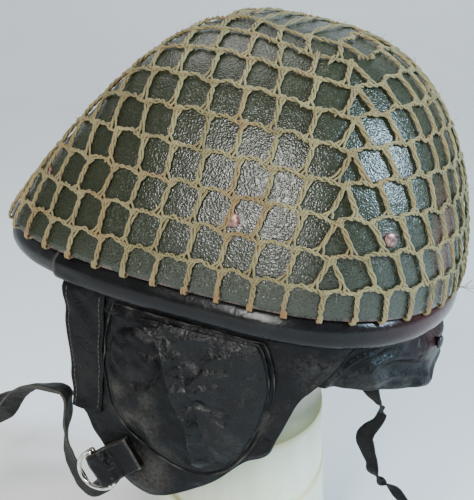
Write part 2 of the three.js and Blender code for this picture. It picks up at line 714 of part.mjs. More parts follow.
// Mesh of a turned piece, its axis along +Z, stood on a surface along its normal.
function turnedPiece(name, profile, segments, material) {
  const geometry = new THREE.LatheGeometry(profile, segments).rotateX(Math.PI / 2);
  return namedMesh(name, geometry, material);
}

function standOn(mesh, point, normal) {
  mesh.position.copy(point);
  mesh.quaternion.setFromUnitVectors(new THREE.Vector3(0, 0, 1), normal);
  return mesh;
}

// Point and outward normal of the shell at an angle and a height.
function shellSeat(angle, height) {
  const line = meridian(angle);
  let low = 0;
  let high = 1;
  for (let step = 0; step < SAMPLING.halvings; step += 1) {
    const middle = (low + high) / 2;
    if (line.getPointAt(middle).z < height) low = middle;
    else high = middle;
  }
  const point = line.getPointAt(low);
  const beside = meridian(angle + SAMPLING.step).getPointAt(low).sub(point);
  const above = line.getPointAt(low + SAMPLING.step).sub(point);
  return { point, normal: beside.cross(above).normalize() };
}

function rivet(name, angle, height, material) {
  const profile = [
    new THREE.Vector2(0, 0),
    new THREE.Vector2(RIVET.radius, 0),
    new THREE.Vector2(RIVET.shoulder, RIVET.rise),
    new THREE.Vector2(0, RIVET.dome),
  ];
  const { point, normal } = shellSeat(angle, height);
  point.addScaledVector(normal, RIVET.gap);
  return standOn(turnedPiece(name, profile, RIVET.segments, material), point, normal);
}

function napeStud(material) {
  const profile = [
    new THREE.Vector2(0, 0),
    new THREE.Vector2(STUD.neck, 0),
    new THREE.Vector2(STUD.neck, STUD.under),
    new THREE.Vector2(STUD.radius, STUD.edge),
    new THREE.Vector2(STUD.neck, STUD.top),
    new THREE.Vector2(0, STUD.length),
  ];
  const angle = radians(STUD.angle);
  const out = napeSwell(STUD.angle, STUD.z) + PIECE_GAP;
  const point = hoodPoint(angle, STUD.z, out);
  const normal = hoodPoint(angle, STUD.z, out + 1).sub(point).normalize();
  return standOn(turnedPiece('nape_stud', profile, RIVET.segments, material), point, normal);
}

// Stand: radius grows by one turn of sheet at each telescoped edge.
function stand(material) {
  const { radius, wall, turn, lowTurn, highTurn, foot } = STAND;
  const profile = [
    new THREE.Vector2(0, 0),
    new THREE.Vector2(radius + 2 * turn, 0),
    new THREE.Vector2(radius + 2 * turn, lowTurn),
    new THREE.Vector2(radius + turn, lowTurn),
    new THREE.Vector2(radius + turn, highTurn),
    new THREE.Vector2(radius, highTurn),
    new THREE.Vector2(radius, STAND_HEIGHT),
    new THREE.Vector2(radius - wall, STAND_HEIGHT),
    new THREE.Vector2(radius - wall, foot),
    new THREE.Vector2(0, foot),
  ];
  return turnedPiece('stand_tube', profile, STAND.segments, material);
}

function namedMesh(name, geometry, material) {
  const mesh = new THREE.Mesh(geometry, material);
  mesh.name = name;
  return mesh;
}

function finish(colour, roughness, metalness = 0) {
  return new THREE.MeshStandardMaterial({ color: colour, roughness, metalness });
}

const materials = {
  paint: finish(COLOURS.olive, 0.45),
  string: finish(COLOURS.string, 0.95),
  rubber: finish(COLOURS.rubber, 0.35),
  leather: finish(COLOURS.leather, 0.6),
  chrome: finish(COLOURS.chrome, 0.2, 1),
  copper: finish(COLOURS.copper, 0.4, 0.8),
  plastic: finish(COLOURS.plastic, 0.5),
};

const helmet = new THREE.Group();
helmet.position.set(0, HELMET.y, HELMET.z);
helmet.rotation.x = radians(HELMET.tiltDegrees);
helmet.add(namedMesh('steel_shell', steelShell(), materials.paint));
helmet.add(namedMesh('string_net', stringNet(), materials.string));
helmet.add(namedMesh('rim_bumper', rimBumper(), materials.rubber));
helmet.add(namedMesh('hood_binding', hoodBinding(), materials.leather));
helmet.add(namedMesh('nape_flap', napeFlap(), materials.leather));
[['left', 1], ['right', -1]].forEach(([word, side]) => {
  helmet.add(namedMesh(`ear_flap_${word}`, earFlap(side), materials.leather));
  helmet.add(namedMesh(`temple_strip_${word}`, templeStrip(side), materials.leather));
  helmet.add(namedMesh(`ear_pocket_${word}`, earPocket(side), materials.leather));
  helmet.add(namedMesh(`pocket_cover_${word}`, pocketCover(side), materials.leather));
  RIVET_PLACES.forEach(({ name, angle, height }) => {
    const turn = side > 0 ? radians(angle) : Math.PI - radians(angle);
    helmet.add(rivet(`${name}_${word}`, turn, height, materials.copper));
  });
});
helmet.add(namedMesh('buckle_tab', buckleTab(), materials.leather));
D_RINGS.forEach((ring) => helmet.add(namedMesh(ring.name, dRing(ring), materials.chrome)));
helmet.add(namedMesh('chin_strap', chinStrap(), materials.leather));
helmet.add(namedMesh('nape_tie', napeTie(), materials.leather));
helmet.add(napeStud(materials.copper));

const paratrooperHelmet = new THREE.Group();
paratrooperHelmet.add(helmet);
paratrooperHelmet.add(stand(materials.plastic));

export default paratrooperHelmet;
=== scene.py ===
"""Paratrooper helmet on a plain tube stand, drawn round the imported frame.

Shapes are worked out in millimetres in the helmet's own frame: the rim lies in z = 0,
its widest point in y = 0, the wearer's left is +x and the wearer's front -y.
to_row tips and lifts them into the row frame, in metres.
"""

import bpy
import numpy as np
from mathutils import Matrix, Vector


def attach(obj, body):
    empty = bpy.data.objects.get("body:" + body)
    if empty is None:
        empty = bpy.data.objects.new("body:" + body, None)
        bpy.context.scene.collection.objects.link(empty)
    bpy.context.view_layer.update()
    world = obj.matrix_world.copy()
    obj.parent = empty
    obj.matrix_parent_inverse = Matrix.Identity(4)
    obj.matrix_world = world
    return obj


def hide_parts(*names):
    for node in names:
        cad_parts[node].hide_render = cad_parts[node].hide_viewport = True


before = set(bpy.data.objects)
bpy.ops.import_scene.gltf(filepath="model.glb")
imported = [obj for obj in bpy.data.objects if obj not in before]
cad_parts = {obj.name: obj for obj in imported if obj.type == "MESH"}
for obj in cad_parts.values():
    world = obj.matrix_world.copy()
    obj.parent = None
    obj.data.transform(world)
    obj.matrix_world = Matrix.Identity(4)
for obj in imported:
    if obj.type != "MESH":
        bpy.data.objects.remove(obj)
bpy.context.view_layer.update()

# Place of the helmet on the stand.
TILT = np.radians(-9.2)
LIFT = np.array([0.0, 42.0, 210.0])
TIP = np.array([
    [1, 0, 0],
    [0, np.cos(TILT), -np.sin(TILT)],
    [0, np.sin(TILT), np.cos(TILT)],
])

UP = np.array([0, 0, 1.0])

# Rim plan, shell and meridians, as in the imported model.
RIM = {"front": 190.0, "rear": 107.0, "half": 124.0, "front_power": 2.8, "rear_power": 2.3}
SHELL = {"height": 151.0, "crown_y": -44.0, "wall": 1.3}
MERIDIANS = {"side": (2.6, 1.75), "front": (1.5, 1.0), "rear": (3.3, 1.83)}
BUMPER = {"inset": 8.0, "drop": 9.6, "half_wide": 7.0, "half_tall": 9.0}
HOOD = {"top": -22.0, "inset": 9.0, "lean": 0.1}

# Ear flap: fold lines from the bumper down to the free edge.
FLAP_FOLDS = np.array([
    # top y, low y, low z
    (-119, -103, -104),
    (-102, -88, -120),
    (-88, -69, -141),
    (-72, -53, -149),
    (-54, -38, -147),
    (-34, -20, -138),
    (-14, -4, -126),
    (6, 12, -109),
    (24, 27, -99),
    (37, 33, -82),
    (48, 40, -62),
    (59, 50, -47),
    (70, 62, -30),
], float)

# Nape flap, angles round the rim in degrees, 90 at the middle of the back.
NAPE_FOLDS = np.array([
    # top angle, low angle, low z
    (30, 22, -48),
    (38, 33, -49),
    (46, 43, -51),
    (55, 53, -54),
    (65, 65, -57),
    (73, 75, -59),
    (79, 81, -60),
    (85, 86, -63),
    (90, 90, -66),
], float)

# Ear pocket and the cover that laps over its rear part.
POCKET = {"y": -30.0, "z": -70.0, "out": 1.8, "crown": 4.5}
COVER_EDGE = np.array([
    # y, z
    (-60, -25),
    (-52, -31),
    (-43, -39),
    (-37, -50),
    (-32, -66),
    (-27, -78),
    (-20, -86),
    (-18, -100),
    (-15, -118),
], float)

TAB = {"fold": (-78.0, -137.5), "far": (-57.0, -119.5), "width": 22.0, "loop": 4.3, "lift": 6.3}
RING = {"wire": 1.4, "bar": 27.0, "bow": 20.0}
RINGS = [("d_ring_outer", 0.2, 1.55, 80.0), ("d_ring_inner", 0.4, -1.6, 62.0)]

STRAP_ROUTE = np.array([
    # x, y, z, and the direction across the band
    (93, -69, -130, 0, -0.65, 0.76),
    (87.4, -78.7, -152.4, 0.5, -0.55, 0.5),
    (87.2, -84.1, -161.3, 0.55, -0.3, 0.72),
    (89.7, -89.6, -164.9, 0.5, 0.12, 0.85),
    (90.3, -95.7, -160.7, 0.46, 0.62, 0.62),
    (90, -101.5, -153.5, 0.45, 0.67, 0.52),
    (90, -106.6, -146.3, 0.56, 0.66, 0.5),
    (90, -110.1, -138, 0.71, 0.58, 0.38),
    (90, -111.8, -129, 0.87, 0.35, 0.32),
    (90, -112.4, -119, 0.95, 0.05, 0.3),
    (90, -113, -109, 0.97, 0.1, 0.2),
    (89, -115, -103.5, 1, 0.1, 0.1),
    (87, -120, -101, 1, 0, 0),
    (84, -131, -102.5, 0.95, -0.3, 0.1),
    (80, -144, -108, 0.9, -0.4, 0.2),
    (74, -157, -120, 0.8, -0.5, 0.3),
    (65, -170, -140, 0.6, -0.4, 0.6),
    (52, -192, -158, 0.5, -0.4, 0.7),
    (28, -212, -178, 0.3, -0.4, 0.8),
    (0, -226, -190, 0.2, -0.3, 0.9),
    (-26, -233, -195, 0.2, 0, 0.95),
    (-48, -231, -191.5, 0.5, 0.2, 0.8),
    (-66, -211, -182, 0.9, 0.3, 0.3),
    (-78, -188, -184, 0.95, 0.2, 0.2),
    (-84, -176, -183, 0.9, 0.2, 0.4),
    (-92, -158, -172, 0.6, 0.1, 0.8),
    (-98, -142, -158, 0.3, 0, 0.95),
    (-104, -122, -142, 0, 0, 1),
    (-108, -98, -130, 0, 0, 1),
    (-110.5, -72, -121.5, 0, 0, 1),
    (-110.5, -52, -116, 0, 0, 1),
], float)

TIE_ROUTE = np.array([
    # x, y, z, turn of the width in degrees, width
    (59.5, 72, -53, 20, 15),
    (59.5, 76.5, -59, 0, 14),
    (59.5, 81.5, -65, -30, 8),
    (59.5, 85, -70.5, -75, 8),
    (59, 83, -78, -60, 8),
    (59, 78.5, -85, -10, 12),
    (59, 77, -91, 15, 15),
    (59, 80, -98, 5, 14),
    (59, 84, -105, 15, 10),
    (59, 86, -111, -20, 11),
    (59, 91, -116, -35, 8),
    (59, 97, -118, 0, 6),
    (59, 103, -121, 35, 9),
    (59, 109, -126, 25, 8),
    (59, 116, -132, 30, 9),
], float)

# Rivet heads: angle round the shell in degrees and height above the rim.
RIVETS = {"side": (-1, 47.4), "rear": (46, 47.9), "front": (-51, 39.1)}

STAND = {
    "radius": 57.0, "wall": 2.0, "turn": 0.8, "low": 62.0, "high": 102.0, "top": 323.0, "foot": 3.0,
}

# String net: meshes in each ring, in four sectors between its corner lines.
NET_SECTORS = np.array([
    # rear, right, front, left
    (11, 11, 11, 11),
    (11, 11, 11, 11),
    (10, 11, 10, 11),
    (9, 11, 9, 11),
    (8, 10, 8, 10),
    (7, 9, 7, 9),
    (6, 8, 6, 8),
    (5, 7, 5, 7),
    (4, 6, 4, 6),
    (3, 5, 3, 5),
])
NET = {"hem": 1.0, "first": 19.0, "step": 21.6, "corner": 23.0, "twist": 20.0}


# Helpers for shapes


def to_row(points):
    """Helmet frame in millimetres to row frame in metres: tipped about x, then lifted."""
    return (np.asarray(points, float) @ TIP.T + LIFT) / 1000


def signed_power(value, exponent):
    """sign(v) * |v| ^ e."""
    return np.sign(value) * np.abs(value) ** exponent


def unit(vectors):
    """Vectors over their own length."""
    return vectors / np.maximum(np.linalg.norm(vectors, axis=-1, keepdims=True), 1e-9)


def smooth(value, low, high):
    """0 below low, 1 above high, and the cubic 3t^2 - 2t^3 between."""
    share = np.clip((value - low) / (high - low), 0, 1)
    return share * share * (3 - 2 * share)


def bell(value, width, power=2):
    """e ^ -((v / w) ^ power): 1 where the value is 0, next to nothing from twice the width on."""
    return np.exp(-((value / width) ** power))


WAVE_COUNT = 14


def waves(points, seed, length):
    """Smooth noise, mostly in -1..1: sines along random directions, summed, over the root of their count."""
    rng = np.random.default_rng(seed)
    aim = unit(rng.normal(size=(WAVE_COUNT, points.shape[-1])))
    rate = 2 * np.pi / length * rng.uniform(0.6, 1.6, WAVE_COUNT)
    phase = rng.uniform(0, 2 * np.pi, WAVE_COUNT)
    return np.sin(points @ (aim * rate[:, None]).T + phase).sum(-1) / np.sqrt(WAVE_COUNT)


def creased(points, seed, length):
    """Sharp folds in 0..1: one less the size of two smooth noises, largest where they cross zero."""
    first = np.abs(waves(points, seed, length))
    second = np.abs(waves(points, seed + 1, length * 0.6))
    return 1 - np.clip(0.65 * first + 0.5 * second, 0, 1)


def facets(points, seed, cell, low, high):
    """Crumple of flat facets: distance to the nearest of scattered points less that to the next."""
    rng = np.random.default_rng(seed)
    count = max(int(np.prod((np.array(high) - np.array(low)) / cell)), 4)
    seeds = rng.uniform(low, high, (count, len(low)))
    gaps = np.sort(np.linalg.norm(points[..., None, :] - seeds, axis=-1), axis=-1)
    return (gaps[..., 1] - gaps[..., 0]) / cell


def along_lines(points, line):
    """Distance from points to a polyline in the plane."""
    line = np.asarray(line, float)
    start, step = line[:-1], np.diff(line, axis=0)
    offset = points[..., None, :] - start
    share = np.clip((offset * step).sum(-1) / (step * step).sum(-1), 0, 1)
    return np.linalg.norm(offset - share[..., None] * step, axis=-1).min(-1)


def running(points):
    """Length along a polyline at each of its points."""
    steps = np.linalg.norm(np.diff(points, axis=0), axis=1)
    return np.concatenate([[0], np.cumsum(steps)])


def read_at(wanted, places, rows):
    """Rows of a table read at wanted places between the known ones."""
    return np.stack([np.interp(wanted, places, column) for column in rows.T], axis=-1)


def along_straight(line, count):
    """Points at even steps along a polyline."""
    line = np.asarray(line, float)
    length = running(line)
    return read_at(np.linspace(0, length[-1], count), length, line)


def through(rows, share):
    """Table rows read at shares of the way down the table, on a Catmull-Rom curve."""
    rows = np.asarray(rows, float)
    ends = np.vstack([2 * rows[0] - rows[1], rows, 2 * rows[-1] - rows[-2]])
    place = np.asarray(share) * (len(rows) - 1)
    low = np.clip(place.astype(int), 0, len(rows) - 2)
    t = (place - low)[..., None]
    a, b, c, d = (ends[low + k] for k in range(4))
    square, cube = 2 * a - 5 * b + 4 * c - d, 3 * b - a - 3 * c + d
    return 0.5 * (2 * b + (c - a) * t + square * t**2 + cube * t**3)


def curve_through(rows, count, axes=3):
    """The same curve at even steps of its length, which is that of its first columns."""
    fine = through(rows, np.linspace(0, 1, 60 * len(rows)))
    length = running(fine[:, :axes])
    return read_at(np.linspace(0, length[-1], count), length, fine)


# Rim, dome, bumper and hood as functions


def rim_plan(angle, inset=0.0):
    """Rim from above: x = half * cos ^ (2/p), y = length * sin ^ (2/p), with p and length front or rear."""
    rear = np.sin(angle) > 0
    exponent = 2 / np.where(rear, RIM["rear_power"], RIM["front_power"])
    length = np.where(rear, RIM["rear"], RIM["front"]) - inset
    x = (RIM["half"] - inset) * signed_power(np.cos(angle), exponent)
    return x, length * signed_power(np.sin(angle), exponent)


def even_angles(count):
    """Angles at even steps of length round the rim, the first at the wearer's left."""
    angle = np.concatenate([
        np.linspace(0, np.pi / 2, 4001)[:-1] + quarter * np.pi / 2 for quarter in range(4)
    ] + [[2 * np.pi]])
    x, y = rim_plan(angle)
    length = running(np.stack([x, y], axis=-1))
    return np.interp(np.linspace(0, length[-1], count), length, angle)


COLUMNS = 960
ROWS = 480
EAST_STEP = 0.003
ROUND_ANGLE = even_angles(COLUMNS + 1)


def meridian_points(angle, steps):
    """Meridians: reach = cos(t) ^ (2/shoulder) from the crown, height = crown height * sin(t) ^ (2/flank)."""
    rear = np.sin(angle)[:, None] > 0
    share = (np.sin(angle) ** 2)[:, None]
    side, front, back = (np.array(MERIDIANS[k]) for k in ("side", "front", "rear"))
    towards = np.where(rear[..., None], back, front)
    shoulder, flank = np.moveaxis(side + (towards - side) * share[..., None], -1, 0)
    turn = np.linspace(0, np.pi / 2, steps)[None]
    reach = np.maximum(np.cos(turn), 0) ** (2 / shoulder)
    x, y = rim_plan(angle)
    z = SHELL["height"] * np.sin(turn) ** (2 / flank)
    across = SHELL["crown_y"] + (y[:, None] - SHELL["crown_y"]) * reach
    return np.stack([x[:, None] * reach, across, z], axis=-1)


def evenly_along(lines, count):
    """Each row of points spread at even steps of its own length; returns the points and the lengths."""
    steps = np.linalg.norm(np.diff(lines, axis=1), axis=2)
    length = np.concatenate([np.zeros((len(lines), 1)), np.cumsum(steps, axis=1)], axis=1)
    total = length[:, -1]
    shift = np.arange(len(lines))[:, None] * (total.max() + 1)
    wanted = (np.linspace(0, 1, count)[None] * total[:, None] + shift).ravel()
    known = (length + shift).ravel()
    even = [np.interp(wanted, known, lines[..., axis].ravel()) for axis in range(3)]
    return np.stack(even, axis=-1).reshape(len(lines), count, 3), total


DOME, DOME_LENGTH = evenly_along(meridian_points(ROUND_ANGLE, 500), ROWS + 1)


def dome_point(share_round, distance):
    """Point of the shell: share of the way round the rim by length, and millimetres up from the rim."""
    share_round, distance = np.broadcast_arrays(share_round, distance)
    place = np.mod(share_round, 1) * COLUMNS
    column = np.minimum(place.astype(int), COLUMNS - 1)
    across = (place - column)[..., None]
    total = DOME_LENGTH[column] * (1 - across[..., 0]) + DOME_LENGTH[column + 1] * across[..., 0]
    up = np.clip(distance / total, 0, 1) * ROWS
    row = np.minimum(up.astype(int), ROWS - 1)
    rise = (up - row)[..., None]
    near = DOME[column, row] * (1 - rise) + DOME[column, row + 1] * rise
    far = DOME[column + 1, row] * (1 - rise) + DOME[column + 1, row + 1] * rise
    return near * (1 - across) + far * across


def dome_normal(share_round, distance):
    """Outward direction: step round crossed with step up, over a few millimetres."""
    distance = np.maximum(distance, 1.5)
    east = dome_east(share_round, distance)
    north = dome_point(share_round, distance + 1.5) - dome_point(share_round, distance - 1.5)
    return unit(np.cross(east, north))


def dome_face(share_round, distance):
    """Point of the shell and its outward direction."""
    return dome_point(share_round, distance), dome_normal(share_round, distance)


def dome_east(share_round, distance):
    """Direction round the shell, towards its rear on the wearer's left."""
    step = EAST_STEP
    return dome_point(share_round + step, distance) - dome_point(share_round - step, distance)


def share_at(angle_degrees):
    """Share of the way round the rim at an angle."""
    turned = np.mod(np.radians(angle_degrees), 2 * np.pi)
    return np.interp(turned, ROUND_ANGLE, np.linspace(0, 1, COLUMNS + 1))


def roll_point(angle, turn, extra=0.0):
    """Bumper section: an ellipse under the shell's edge, its wide axis square to the rim."""
    x, y = rim_plan(angle, BUMPER["inset"])
    wide_x, wide_y = rim_plan(angle, BUMPER["inset"] - 1)
    out = unit(np.stack([wide_x - x, wide_y - y], axis=-1))
    reach = (BUMPER["half_wide"] + extra) * np.cos(turn)
    rise = (BUMPER["half_tall"] + extra) * np.sin(turn) - BUMPER["drop"]
    return np.stack([x + out[..., 0] * reach, y + out[..., 1] * reach, rise + 0 * x], axis=-1)


def hood_inset(z):
    """Hood leans in by a tenth of its depth."""
    return HOOD["inset"] + HOOD["lean"] * (HOOD["top"] - z)


def hood_at_angle(angle, z, out):
    """Point of the hood at an angle round the rim, out millimetres proud of it."""
    x, y = rim_plan(angle, hood_inset(z) - out)
    return np.stack([x, y, z + 0 * x], axis=-1)


def hood_at_side(y, z, out=0.0):
    """Point of the hood on the wearer's left, placed by its y."""
    inset = hood_inset(z)
    length = np.where(y > 0, RIM["rear"], RIM["front"]) - inset
    power = np.where(y > 0, RIM["rear_power"], RIM["front_power"]) / 2
    angle = np.arcsin(np.clip(signed_power(y / length, power), -1, 1))
    return hood_at_angle(angle, z, out)


# Helpers that put arrays into meshes


def add_mesh(name, points, faces, uv=None, marks=None):
    """Mesh from row-frame points, arrays of faces, corner UVs and point attributes, on the root body."""
    mesh = bpy.data.meshes.new(name)
    faces = [np.asarray(f) for f in (faces if isinstance(faces, list) else [faces])]
    corners = np.concatenate([f.ravel() for f in faces])
    sizes = np.concatenate([np.full(len(f), f.shape[1]) for f in faces])
    mesh.vertices.add(len(points))
    mesh.vertices.foreach_set("co", np.ascontiguousarray(points, np.float32).ravel())
    mesh.loops.add(len(corners))
    mesh.loops.foreach_set("vertex_index", corners.astype(np.int32))
    mesh.polygons.add(len(sizes))
    mesh.polygons.foreach_set("loop_start", np.concatenate([[0], np.cumsum(sizes)[:-1]]).astype(np.int32))
    mesh.polygons.foreach_set("use_smooth", np.ones(len(sizes), bool))
    if uv is not None:
        mesh.uv_layers.new(name="lay").data.foreach_set("uv", uv.astype(np.float32).ravel())
    for key, value in (marks or {}).items():
        layer = mesh.attributes.new(key, "FLOAT", "POINT")
        layer.data.foreach_set("value", np.asarray(value, np.float32).ravel())
    mesh.update(calc_edges=True)
    mesh.validate()
    piece = bpy.data.objects.new(name, mesh)
    bpy.context.scene.collection.objects.link(piece)
    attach(piece, "root")
    return piece


def grid_faces(rows, columns, wrap_rows=False, wrap_columns=False):
    """Quads of a grid of points numbered row by row; a row follows the first parameter."""
    i = np.arange(rows if wrap_rows else rows - 1)[:, None]
    j = np.arange(columns if wrap_columns else columns - 1)[None]
    down, side = (i + 1) % rows, (j + 1) % columns
    quads = [i * columns + j, down * columns + j, down * columns + side, i * columns + side]
    return np.stack([q + 0 * i + 0 * j for q in quads], axis=-1).reshape(-1, 4)


def thicken(piece, wall):
    """Gives a piece a wall behind its face."""
    solid = piece.modifiers.new("wall", "SOLIDIFY")
    solid.thickness, solid.offset, solid.use_even_offset = wall / 1000, -1, False


def sheet_piece(name, points, wall=0.0, marks=None, flip=False, **wraps):
    """Piece from a grid of points; wall gives it a thickness behind its face."""
    rows, columns = points.shape[:2]
    faces = grid_faces(rows, columns, **wraps)
    if flip:
        faces = faces[:, ::-1]
    lay = np.stack([(faces // columns) / rows, (faces % columns) / columns], axis=-1)
    marks = {k: np.broadcast_to(v, (rows, columns)) for k, v in (marks or {}).items()}
    piece = add_mesh(name, to_row(points.reshape(-1, 3)), faces, lay, marks)
    if wall:
        thicken(piece, wall)
    return piece


def frames_along(paths, up):
    """Two directions square to each path: one near the given direction, and one beside it."""
    ahead = unit(np.gradient(paths, axis=-2))
    up = np.broadcast_to(up, paths.shape)
    up = unit(up - (up * ahead).sum(-1, keepdims=True) * ahead)
    return up, np.cross(ahead, up)


def tubes(paths, up, radius, sides=6, closed=False):
    """Round tubes along many paths at once: points, faces and UVs (millimetres along / 10, share round)."""
    paths = np.asarray(paths, float)
    count, steps = paths.shape[:2]
    first, second = frames_along(paths, up)
    turn = 2 * np.pi * np.arange(sides) / sides
    radius = np.broadcast_to(radius, (count, steps))[..., None, None]
    ring = first[..., None, :] * np.cos(turn)[:, None] + second[..., None, :] * np.sin(turn)[:, None]
    points = (paths[..., None, :] + radius * ring).reshape(-1, 3)
    quads = grid_faces(steps, sides, wrap_rows=closed, wrap_columns=True)
    base = (np.arange(count) * steps * sides)[:, None, None]
    faces = (quads[None] + base).reshape(-1, 4)
    length = np.linalg.norm(np.diff(paths, axis=1), axis=2)
    length = np.concatenate([np.zeros((count, 1)), np.cumsum(length, axis=1)], axis=1) / 10
    step_of, side_of = quads // sides, quads % sides
    along = length[:, step_of]
    closing = (side_of == 0) & (side_of.max(1, keepdims=True) == sides - 1)
    round_share = np.broadcast_to(np.where(closing, 1.0, side_of / sides), along.shape)
    uv = np.stack([along, round_share], axis=-1).reshape(-1, 2)
    if closed:
        return points, [faces], uv
    caps_a = (np.arange(sides)[::-1][None] + base[:, 0]).reshape(-1, sides)
    caps_b = (np.arange(sides)[None] + (steps - 1) * sides + base[:, 0]).reshape(-1, sides)
    cap_uv = np.zeros((2 * count * sides, 2))
    cap_uv[count * sides:, 0] = np.repeat(length[:, -1], sides)
    return points, [faces, np.vstack([caps_a, caps_b])], np.vstack([uv, cap_uv])


def joined(parts):
    """Several (points, faces, uv) sets as one."""
    points, faces, uvs, start = [], [], [], 0
    for part_points, part_faces, part_uv in parts:
        points.append(part_points)
        faces += [f + start for f in part_faces]
        uvs.append(part_uv)
        start += len(part_points)
    return np.vstack(points), faces, np.vstack(uvs)


def tube_piece(name, parts, marks=None):
    """Piece from tube sets in helmet millimetres."""
    points, faces, uv = joined(parts)
    values = {
        key: rule(points) if callable(rule) else np.full(len(points), rule)
        for key, rule in (marks or {}).items()
    }
    return add_mesh(name, to_row(points), faces, uv, values)


def stitches(line, outward, pitch, length, radius):
    """Stitches: short humped threads at even steps along a line, each dipping in at its ends."""
    place = running(line)
    count = max(int(place[-1] / pitch), 1)
    starts = (np.arange(count) + 0.5) * place[-1] / count
    share = np.linspace(-0.5, 0.5, 5)
    wanted = starts[:, None] + share * length
    out = read_at(wanted, place, np.broadcast_to(outward, line.shape))
    rise = radius * (1.3 - 6.4 * share**2)[:, None]
    return tubes(read_at(wanted, place, line) + out * rise, out, radius, 5)


# Helpers for materials


class Paint:
    """A node material under construction; its methods add a node and return its socket."""

    def __init__(self, name):
        self.made = bpy.data.materials.new(name)
        self.made.use_nodes = True
        self.tree = self.made.node_tree
        self.shader = self.tree.nodes["Principled BSDF"]
        self.where = self.node("TexCoord").outputs["Object"]

    def put(self, place, value):
        """Links a socket to an input, or sets its number or colour."""
        if isinstance(value, bpy.types.NodeSocket):
            self.tree.links.new(value, place)
        else:
            colour = isinstance(value, tuple) and place.type == "RGBA"
            place.default_value = (*value, 1) if colour else value

    def node(self, kind, settings=None, **sockets):
        """Adds a node; a socket is named by its words, or by i and its number."""
        item = self.tree.nodes.new("ShaderNode" + kind)
        for key, value in (settings or {}).items():
            setattr(item, key, value)
        for key, value in sockets.items():
            place = int(key[1:]) if key[0] == "i" and key[1:].isdigit() else key.replace("_", " ")
            self.put(item.inputs[place], value)
        return item

    def ramp(self, value, *stops):
        """Colour ramp through (place, colour) stops."""
        item = self.node("ValToRGB", Fac=value)
        ends = item.color_ramp.elements
        for end, (place, colour) in ((ends[0], stops[0]), (ends[1], stops[-1])):
            end.position, end.color = place, (*colour, 1)
        for place, colour in stops[1:-1]:
            ends.new(place).color = (*colour, 1)
        return item.outputs["Color"]

    def count(self, operation, first, second=0.0):
        """Any operation on two numbers."""
        return self.node("Math", {"operation": operation}, i0=first, i1=second).outputs[0]

    def times(self, first, second):
        """Product."""
        return self.count("MULTIPLY", first, second)

    def plus(self, first, second):
        """Sum."""
        return self.count("ADD", first, second)

    def spread(self, value, low, high, to_low=0.0, to_high=1.0):
        """Number carried from one span to another, and held at its ends."""
        return self.node("MapRange", Value=value, i1=low, i2=high, i3=to_low, i4=to_high).outputs[0]

    def mixed(self, share, first, second):
        """Two colours mixed."""
        item = self.node("Mix", {"data_type": "RGBA", "blend_type": "MIX"}, i0=share, i6=first, i7=second)
        return item.outputs[2]

    def mark(self, name):
        """A point attribute of the piece."""
        return self.node("Attribute", {"attribute_name": name}).outputs["Fac"]

    def noise(self, per_metre, detail, rough=0.55, twist=0.0, where=None):
        """Noise of a given number of features per metre, on object coordinates."""
        return self.node(
            "TexNoise", Scale=per_metre, Detail=detail, Roughness=rough, Distortion=twist,
            Vector=where or self.where).outputs["Fac"]

    def finish(self, *bumps, **sockets):
        """Feeds the shader, stacks bumps of (height, strength, millimetres) on it, and gives the material."""
        for key, value in sockets.items():
            self.put(self.shader.inputs[key.replace("_", " ")], value)
        normal = None
        for height, strength, distance in bumps:
            item = self.node("Bump", Strength=strength, Distance=distance / 1000, Height=height)
            if normal is not None:
                self.put(item.inputs["Normal"], normal)
            normal = item.outputs["Normal"]
        if normal is not None:
            self.put(self.shader.inputs["Normal"], normal)
        return self.made


def wear(piece, made, slot_name):
    """Gives a piece its material; the slot name is not used."""
    piece.data.materials.clear()
    piece.data.materials.append(made)
    return piece


# Materials


def olive_paint():
    """Grainy half-gloss olive paint: leathery grain, darker clouds, rust patches, scuffs and a worn rim."""
    m = Paint("olive_paint")
    fleck = m.noise(520, 3)
    base = m.ramp(
        m.noise(14, 4),
        (0.3, (0.011, 0.014, 0.006)), (0.55, (0.017, 0.021, 0.010)), (0.8, (0.027, 0.031, 0.017)))
    base = m.mixed(m.times(fleck, 0.3), base, (0.038, 0.042, 0.024))
    rust = m.times(m.mark("rust"), m.plus(m.noise(70, 5), 0.35))
    base = m.mixed(m.spread(rust, 0.3, 0.8, 0.0, 0.8), base, (0.088, 0.040, 0.028))
    scuff = m.times(m.mark("scuff"), m.noise(150, 5))
    base = m.mixed(m.spread(scuff, 0.4, 0.66), base, (0.26, 0.24, 0.20))
    rim = m.times(m.mark("rim"), m.noise(130, 3))
    base = m.mixed(m.spread(rim, 0.35, 0.7), base, (0.17, 0.10, 0.085))
    bend = m.node("TexNoise", Scale=240.0, Detail=1.0, Vector=m.where).outputs["Color"]
    bend = m.node("VectorMath", {"operation": "SCALE"}, i0=bend, i3=0.0022).outputs[0]
    bent = m.node("VectorMath", {"operation": "ADD"}, i0=m.where, i1=bend).outputs[0]
    pebble = m.node("TexVoronoi", {"feature": "SMOOTH_F1"}, Vector=bent, Scale=980.0).outputs["Distance"]
    return m.finish(
        (m.noise(60, 3), 0.15, 1.0), (pebble, 0.7, 0.5), (fleck, 0.25, 0.3),
        Base_Color=base, Roughness=m.spread(fleck, 0.3, 0.7, 0.2, 0.36), Specular_IOR_Level=0.55)


